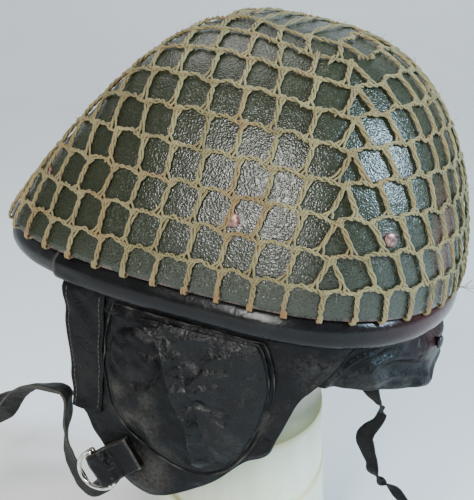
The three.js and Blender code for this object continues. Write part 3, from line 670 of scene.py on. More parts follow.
def net_cotton():
    """Khaki cotton string: fine plies spiral along each strand, with painted shade between them, brown where
    stained.
    """
    m = Paint("net_cotton")
    lay = m.node("SeparateXYZ", Vector=m.node("UVMap", {"uv_map": "lay"}).outputs["UV"])
    turn = m.plus(m.times(lay.outputs["X"], 5.0), lay.outputs["Y"])
    ply = m.times(m.plus(m.count("SINE", m.times(turn, 6 * np.pi)), 1.0), 0.5)
    fuzz = m.noise(1900, 3)
    base = m.ramp(
        m.noise(45, 4),
        (0.3, (0.16, 0.128, 0.054)), (0.5, (0.235, 0.194, 0.086)), (0.72, (0.32, 0.272, 0.132)))
    # Painted shade in the grooves between the plies.
    base = m.mixed(m.times(m.count("SUBTRACT", 1.0, ply), 0.5), base, (0.075, 0.058, 0.026))
    base = m.mixed(m.times(fuzz, 0.3), base, (0.36, 0.315, 0.175))
    stain = m.times(m.mark("stain"), m.plus(m.noise(120, 3), 0.4))
    base = m.mixed(stain, base, (0.23, 0.115, 0.045))
    return m.finish(
        (ply, 0.6, 0.3), (fuzz, 0.6, 0.16),
        Base_Color=base, Roughness=0.9, Specular_IOR_Level=0.18, Sheen_Weight=0.1)


def black_leather(name, gloss=0.38, wrinkle=0.55, shine=0.13, grain=1.0):
    """Black leather: fine pebbled grain, short wrinkles, dust in patches, pale wear where marked (a painted
    highlight on the cover's front edge), and painted shade where marked dark.
    """
    m = Paint(name)
    patch = m.noise(38, 5, 0.62)
    fine = m.noise(480, 4, 0.6)
    cloud = m.times(patch, fine)
    base = m.ramp(
        patch,
        (0.32, (0.003, 0.0031, 0.0033)), (0.58, (0.006, 0.006, 0.0062)), (0.8, (0.012, 0.0118, 0.0115)))
    dusty = m.spread(m.times(m.mark("dust"), cloud), 0.14, 0.36)
    base = m.mixed(dusty, base, (0.036, 0.033, 0.028))
    # Pale where the wear mark lies: real wear on most pieces, a painted highlight on the cover's front edge.
    worn = m.spread(m.times(m.mark("wear"), m.plus(fine, 0.25)), 0.15, 0.8)
    base = m.mixed(worn, base, (0.10, 0.094, 0.08))
    # Painted shade: near black where the dark mark lies, in lace holes and in the cover's shadow on the
    # pocket; along the pocket seam it is a dark joint.
    base = m.mixed(m.mark("dark"), base, (0.002, 0.002, 0.002))
    red = m.times(m.mark("red"), m.plus(patch, 0.2))
    base = m.mixed(red, base, (0.06, 0.012, 0.011))
    cells = m.node("TexVoronoi", {"feature": "DISTANCE_TO_EDGE"}, Vector=m.where, Scale=620.0)
    crease = m.count("ABSOLUTE", m.count("SUBTRACT", m.noise(95, 4, 0.6, 0.8), 0.5))
    return m.finish(
        (m.spread(crease, 0.0, 0.12), wrinkle, 0.5),
        (fine, 0.45 * grain, 0.35),
        (cells.outputs["Distance"], 0.3 * grain, 0.25),
        Base_Color=base, Specular_IOR_Level=shine,
        Roughness=m.spread(cloud, 0.12, 0.42, gloss - 0.1 * grain, gloss + 0.2 * grain))


def bumper_rubber():
    """Smooth black rubber with faint scuffs."""
    m = Paint("bumper_rubber")
    scuff = m.noise(120, 4)
    base = m.ramp(scuff, (0.4, (0.005, 0.005, 0.006)), (0.75, (0.014, 0.014, 0.015)))
    rough = m.spread(scuff, 0.3, 0.8, 0.24, 0.5)
    return m.finish((m.noise(300, 3), 0.12, 0.3), Base_Color=base, Roughness=rough)


def ring_chrome():
    """Chrome with a brown tarnish in its clouds."""
    m = Paint("ring_chrome")
    tarnish = m.noise(260, 4)
    base = m.ramp(tarnish, (0.42, (0.78, 0.76, 0.72)), (0.7, (0.42, 0.34, 0.24)))
    rough = m.spread(tarnish, 0.3, 0.8, 0.08, 0.34)
    return m.finish((m.noise(500, 3), 0.1, 0.15), Base_Color=base, Metallic=1.0, Roughness=rough)


def rivet_metal():
    """Scuffed copper-brown rivet with remains of paint."""
    m = Paint("rivet_metal")
    scuff = m.noise(420, 4)
    base = m.ramp(
        scuff, (0.35, (0.075, 0.032, 0.026)), (0.55, (0.2, 0.10, 0.082)), (0.75, (0.45, 0.33, 0.30)))
    return m.finish((scuff, 0.3, 0.3), Base_Color=base, Metallic=0.45, Roughness=0.36)


def thread(name, colour):
    """Waxed sewing thread."""
    m = Paint(name)
    shade = m.noise(900, 2)
    base = m.ramp(shade, (0.3, tuple(c * 0.55 for c in colour)), (0.7, colour))
    return m.finish((shade, 0.3, 0.1), Base_Color=base, Roughness=0.6)


def stand_plastic():
    """Cream translucent sheet: milky body, yellow where an edge is marked, faint streaks up its height, and
    painted shade, greyer and darker, on the top turn under the helmet.
    """
    m = Paint("stand_plastic")
    where = m.node("Mapping", Vector=m.where, Scale=(9.0, 9.0, 1.2)).outputs["Vector"]
    streak = m.noise(6, 3, where=where)
    base = m.ramp(streak, (0.3, (0.60, 0.61, 0.44)), (0.7, (0.74, 0.74, 0.58)))
    base = m.mixed(m.mark("edge"), base, (0.54, 0.51, 0.24))
    # Painted shade under the helmet: greyer and darker where the inner mark lies.
    base = m.mixed(m.mark("inner"), base, (0.40, 0.41, 0.35))
    return m.finish(
        (streak, 0.1, 1.0),
        Base_Color=base, Roughness=0.42, Subsurface_Weight=0.35, Subsurface_Scale=0.01)


def backdrop_paper():
    """Matt pale grey paper."""
    m = Paint("backdrop_paper")
    base = m.ramp(m.noise(1.5, 2), (0.3, (0.74, 0.75, 0.75)), (0.7, (0.80, 0.81, 0.81)))
    return m.finish(Base_Color=base, Roughness=0.95)


PAINT = olive_paint()
COTTON = net_cotton()
HOOD_LEATHER = black_leather("hood_leather")
BINDING_LEATHER = black_leather("binding_leather", gloss=0.22, wrinkle=0.1, shine=0.22, grain=0.4)
COVER_LEATHER = black_leather("cover_leather", gloss=0.33, wrinkle=0.6, shine=0.2)
STRAP_LEATHER = black_leather("strap_leather", gloss=0.45)
RUBBER = bumper_rubber()
CHROME = ring_chrome()
COPPER = rivet_metal()
DARK_THREAD = thread("dark_thread", (0.07, 0.068, 0.06))
PLASTIC = stand_plastic()


# Helpers for leather pieces

WORDS = {1: "left", -1: "right"}


# The dark mark paints shade, and on the cover's front edge the wear mark paints a highlight.
def leather_marks(dust, wear=0.0, dark=0.0, red=0.0):
    """Marks of a leather piece, each a number, an array or a function of its points."""
    return {"dust": dust, "wear": wear, "dark": dark, "red": red}


# Camera at the photo's angle


# Angles in degrees, distance in metres, focal length and shifts in the photo's pixels, 500 down it.
CAMERA = {
    "azimuth": 106.15, "elevation": 14.97, "distance": 0.9, "focal": 1351.15, "right": 60.0, "down": 1.8,
}
PHOTO_TALL = 500
SENSOR = 36.0


def set_camera():
    """Camera on a line from the rim's origin, turned so the rim falls right of the middle."""
    azimuth, elevation = np.radians(CAMERA["azimuth"]), np.radians(CAMERA["elevation"])
    flat = np.cos(elevation)
    back = Vector((np.sin(azimuth) * flat, -np.cos(azimuth) * flat, np.sin(elevation)))
    data = bpy.data.cameras.new("camera")
    data.sensor_width = SENSOR
    data.lens = CAMERA["focal"] / PHOTO_TALL * SENSOR
    camera = bpy.data.objects.new("camera", data)
    bpy.context.scene.collection.objects.link(camera)
    look = (-back).to_track_quat("-Z", "Y").to_matrix()
    yaw = Matrix.Rotation(np.arctan(CAMERA["right"] / CAMERA["focal"]), 3, "Y")
    pitch = Matrix.Rotation(np.arctan(CAMERA["down"] / CAMERA["focal"]), 3, "X")
    place = Vector(LIFT / 1000) + back * CAMERA["distance"]
    camera.matrix_world = Matrix.Translation(place) @ (look @ yaw @ pitch).to_4x4()
    data.clip_start, data.clip_end = 0.05, 50
    bpy.context.scene.camera = camera


set_camera()


# Steel shell


# Rusty patch at the rear: angle, then height, width and depth in millimetres.
RUST = {"angle": 76.0, "up": 44.0, "wide": 19, "tall": 46}
# Length of the rim, about, in millimetres.
RIM_LENGTH = 720


def steel_shell():
    """Shell: the dome's rows from rim to crown, with slight dents, its wall inside."""
    columns, rows = 200, 74
    round_share = np.arange(columns) / columns
    up = np.linspace(0, 1, rows + 1)[:-1] ** 0.95
    share, height = np.meshgrid(round_share, up, indexing="ij")
    length = np.interp(share, np.linspace(0, 1, COLUMNS + 1), DOME_LENGTH)
    distance = height * length
    points = dome_point(share, distance)
    dents = 0.28 * waves(points, 3, 60) + 0.12 * waves(points, 5, 22)
    points = points + dome_normal(share, distance) * (dents * smooth(height, 0, 0.1))[..., None]
    crown = dome_point(0.0, DOME_LENGTH[0])
    side, rear, front = (dome_point(share_at(a), height_up(share_at(a), h)) for a, h in RIVETS.values())
    beside = np.abs(share - share_at(RUST["angle"])) * RIM_LENGTH / RUST["wide"]
    above = np.abs(distance - RUST["up"]) / RUST["tall"]
    rust = np.clip(1.3 - np.hypot(beside, above), 0, 1)
    low_left = dome_point(share_at(-63.0), 34.0)
    rust = np.maximum(rust, 0.4 * np.clip(1.2 - np.linalg.norm(points - low_left, axis=-1) / 26, 0, 1))
    scuff = np.zeros(share.shape)
    for place, size in ((side, 17), (rear, 10), (front, 9)):
        scuff = np.maximum(scuff, np.clip(1.3 - np.linalg.norm(points - place, axis=-1) / size, 0, 1))
    marks = {
        "rust": rust,
        "scuff": scuff,
        "rim": 1 - smooth(distance, 1.0, 5.0),
    }
    points = np.vstack([points.reshape(-1, 3), crown[None]])
    faces = grid_faces(columns, rows, wrap_rows=True)
    last = np.arange(columns) * rows + rows - 1
    fan = np.stack([last, np.roll(last, -1), np.full(columns, columns * rows)], axis=-1)
    marks = {k: np.append(v.ravel(), 0) for k, v in marks.items()}
    shell = add_mesh("shell_steel", to_row(points), [faces, fan], None, marks)
    thicken(shell, SHELL["wall"])
    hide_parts("steel_shell")
    return wear(shell, PAINT, "olive_paint")


def height_up(share, height):
    """Distance up the meridian at a share round at which the shell reaches a height."""
    distance = np.linspace(0, 150, 600)
    return np.interp(height, dome_point(share, distance)[:, 2], distance)


steel_shell()


# String net


RING_STEPS = 1440
KNOT_STEPS = 20
COLUMN_STEPS = 12


def net_rings():
    """For each ring: its distance up, its number of knots, and shares round at fine even steps of length."""
    rings = []
    for ring, sectors in enumerate(NET_SECTORS):
        distance = NET["hem"] if ring == 0 else NET["first"] + NET["step"] * (ring - 1)
        climb = distance / SHELL["height"]
        start = share_at(NET["corner"] + NET["twist"] * climb**2)
        shares = np.linspace(0, 2, 2 * RING_STEPS + 1)
        length = running(dome_point(shares, distance))
        begin = np.interp(start, shares, length)
        wanted = begin + np.linspace(0, 1, RING_STEPS + 1) * length[RING_STEPS]
        turned = np.interp(wanted, length, shares)
        rings.append({"distance": distance, "count": int(sectors.sum()), "sectors": sectors, "share": turned})
    return rings


RINGS_OF_NET = net_rings()


def ring_share(ring, place):
    """Share round the rim at a place on a ring, counted in knots from the rear left corner line."""
    data = RINGS_OF_NET[ring]
    turns = np.floor(place / data["count"])
    within = place / data["count"] - turns
    return np.interp(within, np.linspace(0, 1, RING_STEPS + 1), data["share"]) + turns


def ring_height(ring, place):
    """Distance up at a place: the ring's own, dipping in a V at the corners, with slack between knots."""
    data = RINGS_OF_NET[ring]
    if ring == 0:
        return np.full(np.shape(place), data["distance"])
    corners = np.cumsum(np.concatenate([[0], data["sectors"]]))
    gap = np.abs(place[..., None] - corners).min(-1)
    dip = (1.5 + 0.9 * (ring - 1)) * bell(gap, 1.2)
    wander = 0.5 * np.sin(2.1 * place + 5 * ring) + 0.4 * np.sin(4.7 * place + 2 * ring)
    scallop = -1.1 * np.cos(2 * np.pi * (place + 0.12)) - 0.3 * np.sin(4 * np.pi * place + ring)
    return data["distance"] - dip + wander + scallop


def arrive_shift(ring, place):
    """How far before its knot a column from above meets a row, in meshes: more at the rear and front."""
    corners = np.cumsum(np.concatenate([[0], RINGS_OF_NET[ring]["sectors"]]))
    rear = (place >= corners[0]) & (place < corners[1])
    front = (place >= corners[2]) & (place < corners[3])
    return np.where(rear | front, 0.36, 0.2)


# Strands that are missing from the net where it is torn near the crown.
TORN_ROWS = {8: (0.12, 1.3)}
TORN_COLUMNS = {(9, 1), (8, 1)}


def net_rows(low, high):
    """Rows of the net: two plies twisted round each ring, tighter in some places than in others."""
    parts = []
    for ring in range(low, high):
        count = RINGS_OF_NET[ring]["count"]
        steps = count * KNOT_STEPS
        place = np.arange(steps) / KNOT_STEPS
        share, distance = ring_share(ring, place), ring_height(ring, place)
        surface, normal = dome_face(share, distance)
        ahead = unit(np.roll(surface, -1, axis=0) - np.roll(surface, 1, axis=0))
        beside = np.cross(normal, ahead)
        knot = 0.35 * bell((place + 0.5) % 1 - 0.5, 0.1)
        loose = 1 + 0.3 * waves(surface, 201, 9)
        middle = surface + normal * (1.8 + knot)[:, None]
        turns = round(count * 2.4)
        for side in range(2):
            angle = 2 * np.pi * turns * place / count + np.pi * side + 0.9 * waves(surface, 203, 14)
            thick = 0.69 + 0.09 * waves(surface, 205 + side, 5)
            winding = (
                middle + beside * (0.78 * loose * np.cos(angle))[:, None]
                + normal * (0.55 * loose * np.sin(angle))[:, None])
            if ring in TORN_ROWS:
                first, last = TORN_ROWS[ring]
                kept = int((count - last + first) * KNOT_STEPS)
                keep = np.roll(np.arange(steps), -int(last * KNOT_STEPS))[:kept]
                parts.append(tubes(winding[keep][None], normal[keep][None], thick[keep][None]))
            else:
                parts.append(tubes(winding[None], normal[None], thick[None], closed=True))
    return parts


def net_columns():
    """Pairs (lower ring, lower place, upper ring, upper place) of the columns between knots."""
    pairs = []
    for ring in range(len(NET_SECTORS) - 1):
        lower, upper = NET_SECTORS[ring], NET_SECTORS[ring + 1]
        first = first_up = 0
        for size, size_up in zip(lower, upper):
            grown = size - size_up
            for i in range(size_up):
                pairs.append((ring, first + i + grown, ring + 1, first_up + i))
                if i == 0 and grown:
                    pairs.append((ring, first, ring + 1, first_up))
            first, first_up = first + size, first_up + size_up
    return pairs


def column_paths(pairs):
    """Columns: three strands side by side that cross slowly, fanning out where they meet a row."""
    t = np.linspace(0, 1, COLUMN_STEPS)
    rng = np.random.default_rng(11)
    strands, ups, widths = [], [], []
    for ring in sorted({p[0] for p in pairs}):
        group = np.array([p for p in pairs if p[0] == ring], float)
        low_place, up_place = group[:, 1], group[:, 3]
        shift = arrive_shift(ring, low_place) if ring else np.zeros(len(group))
        jitter = rng.normal(0, 0.03, len(group))
        share_low = ring_share(ring, low_place - shift + jitter)
        share_up = ring_share(ring + 1, up_place)
        share_low = share_low + np.round(share_up - share_low)
        low = ring_height(ring, low_place - shift)
        up = ring_height(ring + 1, up_place)
        run = t[None] * np.ones((len(group), 1))
        bow = rng.normal(0, 0.0005, len(group))[:, None] * np.sin(np.pi * run)
        share = share_up[:, None] + (share_low - share_up)[:, None] * run + bow
        distance = up[:, None] + (low - up)[:, None] * run
        surface, normal = dome_face(share, distance)
        ahead = unit(np.gradient(surface, axis=1))
        beside = np.cross(ahead, normal)
        west = -unit(np.cross(UP, normal))
        fan, root = smooth(run, 0.7, 1.0)[..., None], smooth(run, 0.28, 0.0)[..., None]
        lift = 1.65 - 0.5 * smooth(run, 0.9, 1.0) + 0.4 * np.sin(np.pi * run)
        middle = surface + normal * lift[..., None]
        start = rng.uniform(0, 2 * np.pi, len(group))[:, None]
        twist = rng.uniform(0.9, 1.5, len(group))[:, None]
        for strand, spread in enumerate((4.8, 1.2, -2.8)):
            angle = start + 2 * np.pi * (twist * run + strand / 3)
            wide = 1.08 + 0.25 * waves(surface, 211 + strand, 11)
            wound = middle + beside * (wide * np.cos(angle))[..., None]
            wound = wound + normal * (0.7 * np.sin(angle))[..., None]
            foot = middle + west * (spread if ring else 0.3 * spread - 0.5) + normal * (0.4 * (strand == 1))
            head = middle + west * (2.5 * (1 - strand)) + normal * (0.3 * (strand == 1))
            path = wound * (1 - fan) + foot * fan
            strands.append(path * (1 - root) + head * root)
            ups.append(normal)
            widths.append(0.77 + 0.08 * waves(surface, 215 + strand, 6))
    return np.concatenate(strands), np.concatenate(ups), np.concatenate(widths)


# Points of a hook: spread beside the others, then millimetres outwards and up from the rim.
HOOK = [(1, 1.3, 2.6), (1, 1.5, 0.6), (1.1, 1, -1.2), (1.2, -0.6, -1.7), (1.2, -3.2, -1.2)]


def hem_hooks(pairs):
    """Ends hooked under the rim: each strand goes over the edge and a few millimetres inwards."""
    places = np.array([p[1] for p in pairs if p[0] == 0], float)
    share = ring_share(0, places)
    edge, normal = dome_point(share, 0.0), dome_normal(share, 1.5)
    flat = unit(normal * np.array([1, 1, 0]))
    west = -unit(np.cross(UP, normal))
    rng = np.random.default_rng(4)
    parts = []
    for spread in (-0.85, 0.1, 0.95):
        jitter = rng.normal(0, 0.25, (len(places), 1))
        side = west * (spread + jitter)
        path = np.stack([edge + side * wide + flat * out + UP * rise for wide, out, rise in HOOK])
        rows = path.reshape(len(path), -1)
        fine = through(rows, np.linspace(0, 1, 9)).reshape(9, len(places), 3)
        fine = np.moveaxis(fine, 1, 0)
        parts.append(tubes(fine, np.broadcast_to(flat[:, None], fine.shape), 0.8))
    return parts


def net_knots():
    """Knots: a short loop of string wrapped over each row where a column leaves it."""
    parts = []
    for ring in range(1, len(NET_SECTORS)):
        place = np.arange(RINGS_OF_NET[ring]["count"]) + 0.02
        share, distance = ring_share(ring, place), ring_height(ring, place)
        surface, normal = dome_face(share, distance)
        east = unit(dome_east(share, distance))
        north = np.cross(normal, east)
        turn = np.linspace(-0.55, 1.55, 9) * np.pi
        for lean, offset in ((0.55, -0.9), (0.35, 0.8)):
            middle = surface + normal * 1.9 + east * offset
            axis = unit(north + lean * east)
            loop = (
                middle[:, None]
                + axis[:, None] * (1.75 * np.sin(turn))[None, :, None]
                + normal[:, None] * (1.1 * np.cos(turn))[None, :, None]
                + east[:, None] * (0.5 * np.linspace(-1, 1, 9))[None, :, None]
            )
            parts.append(tubes(loop, np.broadcast_to(east[:, None], loop.shape), 0.72))
    return parts


def crown_strands():
    """Strands that close the net over the ridge, from the top ring's left knots to its right ones."""
    ring = len(NET_SECTORS) - 1
    left, right = np.array([12.0, 13, 14, 15]), np.array([7.0, 6, 5, 4])
    ends = [dome_point(ring_share(ring, p), ring_height(ring, p)) for p in (left, right)]
    t = np.linspace(0, 1, 21)[None, :, None]
    path = ends[0][:, None] * (1 - t) + ends[1][:, None] * t
    path[..., 2] = crown_height(path) + 1.7
    up = np.broadcast_to(UP, path.shape)
    beside = np.cross(unit(np.gradient(path, axis=1)), up)
    parts = []
    for strand in range(2):
        angle = 2 * np.pi * 1.7 * t[..., 0] + np.pi * strand
        wound = path + beside * (1.1 * np.cos(angle))[..., None] + up * (0.6 * np.sin(angle))[..., None]
        parts.append(tubes(wound, up, 0.78))
    return parts


def crown_height(points):
    """Height of the shell over points near its crown: the mean of its table's four nearest."""
    table = DOME[::6, -240::3].reshape(-1, 3)
    gaps = np.linalg.norm(points[..., None, :2] - table[:, :2], axis=-1)
    near = np.argsort(gaps, axis=-1)[..., :4]
    return table[near, 2].mean(-1)


def frays(count):
    """Loose fibres that stand off the rows and columns."""
    rng = np.random.default_rng(8)
    ring = rng.integers(1, len(NET_SECTORS), count)
    sizes = np.array([data["count"] for data in RINGS_OF_NET])
    place = rng.uniform(0, 1, count) * sizes[ring]
    share, distance = np.zeros(count), np.zeros(count)
    for chosen in range(1, len(NET_SECTORS)):
        here = ring == chosen
        spot = np.where(rng.uniform(size=here.sum()) < 0.5, np.round(place[here]), place[here])
        share[here] = ring_share(chosen, spot)
        along = np.where(spot == np.round(spot), rng.uniform(-19, 0, here.sum()), 0.0)
        distance[here] = ring_height(chosen, spot) + along
    surface, normal = dome_face(share, distance)
    aim = unit(rng.normal(size=(count, 3)) + normal * 0.3)
    bend = unit(rng.normal(size=(count, 3)))
    size = rng.uniform(1.2, 4.6, count)[:, None, None]
    t = np.linspace(0, 1, 4)[None, :, None]
    path = (surface + normal * 2.2)[:, None] + aim[:, None] * t * size + bend[:, None] * t**2 * size * 0.6
    away = ((path - surface[:, None]) * normal[:, None]).sum(-1)
    path = path + normal[:, None] * np.maximum(1.6 - away, 0)[..., None]
    return [tubes(path, np.broadcast_to(bend[:, None], path.shape), 0.09, 3)]


# Broken ends and loose threads: angle and distance up of the root, then the way it goes
# (towards the rear, up, out) in millimetres, and its thickness.
LOOSE_ENDS = [
    (23.0, 150.0, (1, 12, 2), 0.75),
    (33.0, 158.0, (5, 6, 2), 0.6),
    (84.0, 128.0, (4, 7, 5), 0.6),
    (80.0, 122.0, (2, 5, 6), 0.5),
    (86.0, 124.0, (6, 3, 7), 0.4),
    (88.0, 3.0, (9, 2, 7), 0.3),
    (90.0, 2.0, (14, -3, 9), 0.2),
]


def loose_ends():
    """Broken strands: each rises from its root and bends over, fraying into three at its tip."""
    rng = np.random.default_rng(14)
    parts = []
    t = np.linspace(0, 1, 9)[:, None]
    for angle, distance, way, radius in LOOSE_ENDS:
        share = share_at(angle)
        root, normal = dome_face(share, distance)
        east = unit(dome_east(share, distance))
        axes = np.array([east, np.cross(normal, east), normal])
        for split in range(3):
            aim = (np.array(way) + rng.normal(0, 0.9, 3)) @ axes
            bend = rng.normal(0, 1.2, 3) @ axes
            path = root + normal * 2 + aim * t + bend * t**2 + 0.4 * np.sin(6 * t + split) * axes[1]
            parts.append(tubes(path[None], np.broadcast_to(normal, path.shape)[None], radius * 0.7, 6))
    return parts


# Beside the side rivet, on the wearer's left.
STAIN_PLACE = np.array([118, -8, 45])


def net_stain(points):
    """Orange-brown staining: on some of the hem's hooks, by the side rivet, and in loose patches."""
    low = (1 - smooth(points[:, 2], 1.0, 9.0)) * smooth(waves(points, 20, 40), -0.5, 0.9)
    rivet = bell(np.linalg.norm(points - STAIN_PLACE, axis=1), 15)
    patches = 0.45 * smooth(waves(points, 21, 46), 0.2, 1.1)
    return np.clip(0.65 * low + 0.45 * rivet + 0.7 * patches, 0, 1)


def string_net():
    """The net in pieces: rows, columns and hooks, and knots with frays."""
    pairs = [p for p in net_columns() if (p[2], p[3]) not in TORN_COLUMNS]
    marks = {"stain": net_stain}
    lower = tube_piece("net_rows_low", net_rows(1, 5), marks)
    upper = tube_piece("net_rows_high", net_rows(5, len(NET_SECTORS)) + crown_strands(), marks)
    low_pairs = [p for p in pairs if p[0] < 4]
    high_pairs = [p for p in pairs if p[0] >= 4]
    columns = []
    for name, chosen in (("net_columns_low", low_pairs), ("net_columns_high", high_pairs)):
        extra = hem_hooks(chosen) if name.endswith("low") else []
        columns.append(tube_piece(name, [tubes(*column_paths(chosen))] + extra, marks))
    knots = tube_piece("net_knots", net_knots() + frays(1500) + loose_ends(), marks)
    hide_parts("string_net")
    for piece in (lower, upper, *columns, knots):
        wear(piece, COTTON, "net_string")


string_net()


# Rubber bumper and the leather wrapped round it


def rim_bumper():
    """Bumper: its ellipse carried round the rim."""
    angle = even_angles(401)[:-1]
    turn = 2 * np.pi * np.arange(28) / 28
    points = roll_point(angle[:, None] + 0 * turn, turn + 0 * angle[:, None])
    points = points + 0.15 * waves(points, 12, 50)[..., None]
    piece = sheet_piece("bumper", points, wrap_rows=True, wrap_columns=True, flip=True)
    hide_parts("rim_bumper")
    return wear(piece, RUBBER, "bumper_rubber")


rim_bumper()

# Ends of the binding, in degrees round the rim.
BINDING_FROM, BINDING_TO = -34.5, 214.5


def hood_binding():
    """Binding: the ellipse's outer part made larger, with lengthwise puckers and a sewn lower edge."""
    columns, rows = 400, 34
    fine = np.linspace(BINDING_FROM, BINDING_TO, 4000)
    share = np.unwrap(share_at(fine), period=1)
    angle = np.radians(np.interp(np.linspace(share[0], share[-1], columns), share, fine))
    turn = np.radians(np.linspace(62, -122, rows))
    angle, turn = np.meshgrid(angle, turn, indexing="ij")
    points = roll_point(angle, turn, 1.9)
    degrees = np.degrees(turn)
    tuck = np.sin(np.degrees(angle) * 2.9 + 2 * np.sin(np.degrees(angle) * 0.7))
    low = smooth(-degrees, 55, 118)
    pucker = 0.28 * tuck * low + 0.12 * waves(points, 31, 38)
    from_start = np.degrees(angle) - BINDING_FROM
    gather = 0.5 * bell(from_start - 5, 4) * np.sin(degrees / 9)
    core = roll_point(angle, turn, 0.9)
    points = points + (points - core) * (pucker + gather)[..., None]
    edge = 1 - smooth(np.minimum(from_start, BINDING_TO - BINDING_FROM - from_start), 0.4, 1.6)
    seam = bell(degrees + 112, 5) * smooth(np.degrees(angle), 8, 20)
    red = bell(np.degrees(angle) - 78, 24) * 0.75
    marks = leather_marks(0.1, np.clip(0.6 * edge + 0.75 * seam, 0, 1), red=red)
    piece = sheet_piece("binding", points, 1.5, marks, flip=True)
    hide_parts("hood_binding")
    return wear(piece, BINDING_LEATHER, "black_leather")


hood_binding()


def binding_seam():
    """Turned lower edge of the binding: a thin pale bead."""
    angle = np.linspace(np.radians(3), np.radians(177), 420)
    turn = np.radians(-113) + 0.05 * np.sin(angle * 41)
    bead = roll_point(angle, turn, 2.3)
    core = roll_point(angle, turn, 0.0)
    out = unit(bead - core)
    return [tubes(bead[None], out[None], 0.75 + 0.2 * np.sin(angle * 67)[None], 6)]


seam_marks = leather_marks(0.6, lambda p: 0.55 + 0.35 * waves(p, 41, 12))
wear(tube_piece("binding_seam", binding_seam(), seam_marks), HOOD_LEATHER, "black_leather")


# Leather hood

# Ridges pressed out of both ear flaps, or into them where the height is negative: lines of (y, z).
FLAP_RIDGES = [
    # line, width, height
    ([(-117, -27), (-100, -29), (-84, -30), (-66, -26)], 2.2, 1.8),
    ([(-114, -35), (-98, -38), (-84, -36)], 2.6, -0.9),
    ([(-112, -60), (-104, -63), (-94, -61)], 1.8, 0.8),
    ([(-110, -67), (-100, -70), (-90, -66)], 2.4, -0.7),
    ([(-108, -92), (-98, -97), (-88, -95)], 2.6, 0.8),
    ([(38, -20), (31, -27), (24.5, -34.5)], 2.2, 0.9),
    ([(58, -31), (52, -44), (47, -53)], 2.4, 1.4),
    ([(36, -67), (32, -84), (31, -95)], 4.5, 1.0),
    ([(64, -22), (50, -34), (40, -50), (30, -58)], 4.0, -0.8),
    ([(-100, -108), (-88, -112), (-70, -120)], 3.5, -0.7),
    ([(-114, -30), (-98, -24), (-70, -23)], 3.0, -1.0),
    ([(0, -126), (14, -104), (26, -96)], 4.0, 0.8),
]


FLAP_HOLES = np.array([(49.1, -33), (40.8, -58.5), (25.8, -87.5)])


def to_nearest(plan, spots):
    """Distance to the nearest of a few spots in the plane."""
    return np.linalg.norm(plan[..., None, :] - spots, axis=-1).min(-1)


def flap_grid(rows, columns):
    """Ear flap's plan: fold lines read across the table, from the bumper to the free edge."""
    across = np.linspace(0, 1, columns)
    down = np.linspace(0, 1, rows)
    top_y, low_y, low_z = np.moveaxis(through(FLAP_FOLDS, across), -1, 0)
    y = top_y + (low_y - top_y) * down[:, None]
    z = (HOOD["top"] + 2.5) + (low_z - HOOD["top"] - 2.5) * down[:, None]
    return y, z


def flap_lift(y, z, edge_gap, seed):
    """How far the flap stands off the hood: soft sag, ridges, wrinkles, and an edge that curls in."""
    plan = np.stack([y, z], axis=-1)
    lift = 0.9 * waves(plan, seed, 62) + 0.4 * waves(plan, seed + 1, 24)
    lift += 0.55 * (creased(plan, seed + 2, 34) ** 3)
    for line, width, height in FLAP_RIDGES:
        lift += height * bell(along_lines(plan, line), width)
    lift = lift * smooth(z, -21, -27)
    return lift - 1.6 * (1 - smooth(edge_gap, 0, 5.0))


def ear_flap(side):
    """Ear flap: hood surface raised by its lift, mirrored for the wearer's right."""
    rows, columns = 110, 140
    y, z = flap_grid(rows, columns)
    across, down = np.meshgrid(np.linspace(0, 1, columns), np.linspace(0, 1, rows))
    edge_gap = np.minimum(np.minimum(across * 180, (1 - across) * 170), (1 - down) * 100)
    lift = flap_lift(y, z, edge_gap, 50 if side > 0 else 70)
    points = hood_at_side(y, z, lift)
    plan = np.stack([y, z], axis=-1)
    holes = to_nearest(plan, FLAP_HOLES)
    points[..., 0] -= 1.2 * bell(holes, 1.6)
    points[..., 0] *= side
    worn = 0.25 * (1 - smooth(edge_gap, 0.3, 1.6))
    # Painted shade inside the lace holes, carried in the dark mark.
    marks = leather_marks(0.55 + 0.4 * waves(plan, 90, 50), worn, bell(holes, 1.1, 4))
    word = WORDS[side]
    piece = sheet_piece(f"flap_{word}", points, 2.0, marks, flip=side < 0)
    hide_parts(f"ear_flap_{word}")
    return wear(piece, HOOD_LEATHER, "black_leather")


def temple_strip(side):
    """Strip along the flap's front edge: four-cornered, with a folded lower end that stands off."""
    rows, columns = 80, 30
    across, down = np.meshgrid(np.linspace(0, 1, columns), np.linspace(0, 1, rows))
    front = -119.5 + 15.0 * down
    rear = -88.0 + 5.0 * down
    y = front + (rear - front) * across
    z = -19.5 + (-103.5 + 2.5 * across + 19.5) * down
    plan = np.stack([y, z], axis=-1)
    lift = 1.9 + 0.5 * waves(plan, 50 if side > 0 else 70, 62) + 0.35 * waves(plan, 57, 18)
    lift += 1.6 * smooth(down, 0.9, 1.0) * (0.6 + 0.4 * np.sin(across * 5))
    lift -= 0.5 * bell(across - 0.07, 0.03) + 0.4 * bell(across - 0.93, 0.03)
    lift *= smooth(z, -19, -25) * 0.5 + 0.5
    points = hood_at_side(y, z, lift)
    points[..., 0] *= side
    gap = np.minimum(np.minimum(across, 1 - across) * 24, (1 - down) * 80)
    marks = leather_marks(0.4, 0.2 * (1 - smooth(gap, 0.2, 1.0)))
    word = WORDS[side]
    piece = sheet_piece(f"strip_{word}", points, 1.4, marks, flip=side < 0)
    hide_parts(f"temple_strip_{word}")
    line = points[3:-2, 3]
    inner = points[3:-2, -4]
    out = np.array([float(side), 0, 0])
    threads = tube_piece(f"strip_stitches_{word}", [
        stitches(line, out, 3.4, 2.4, 0.28), stitches(inner, out, 3.4, 2.4, 0.28)])
    wear(threads, DARK_THREAD, "black_leather")
    return wear(piece, HOOD_LEATHER, "black_leather")


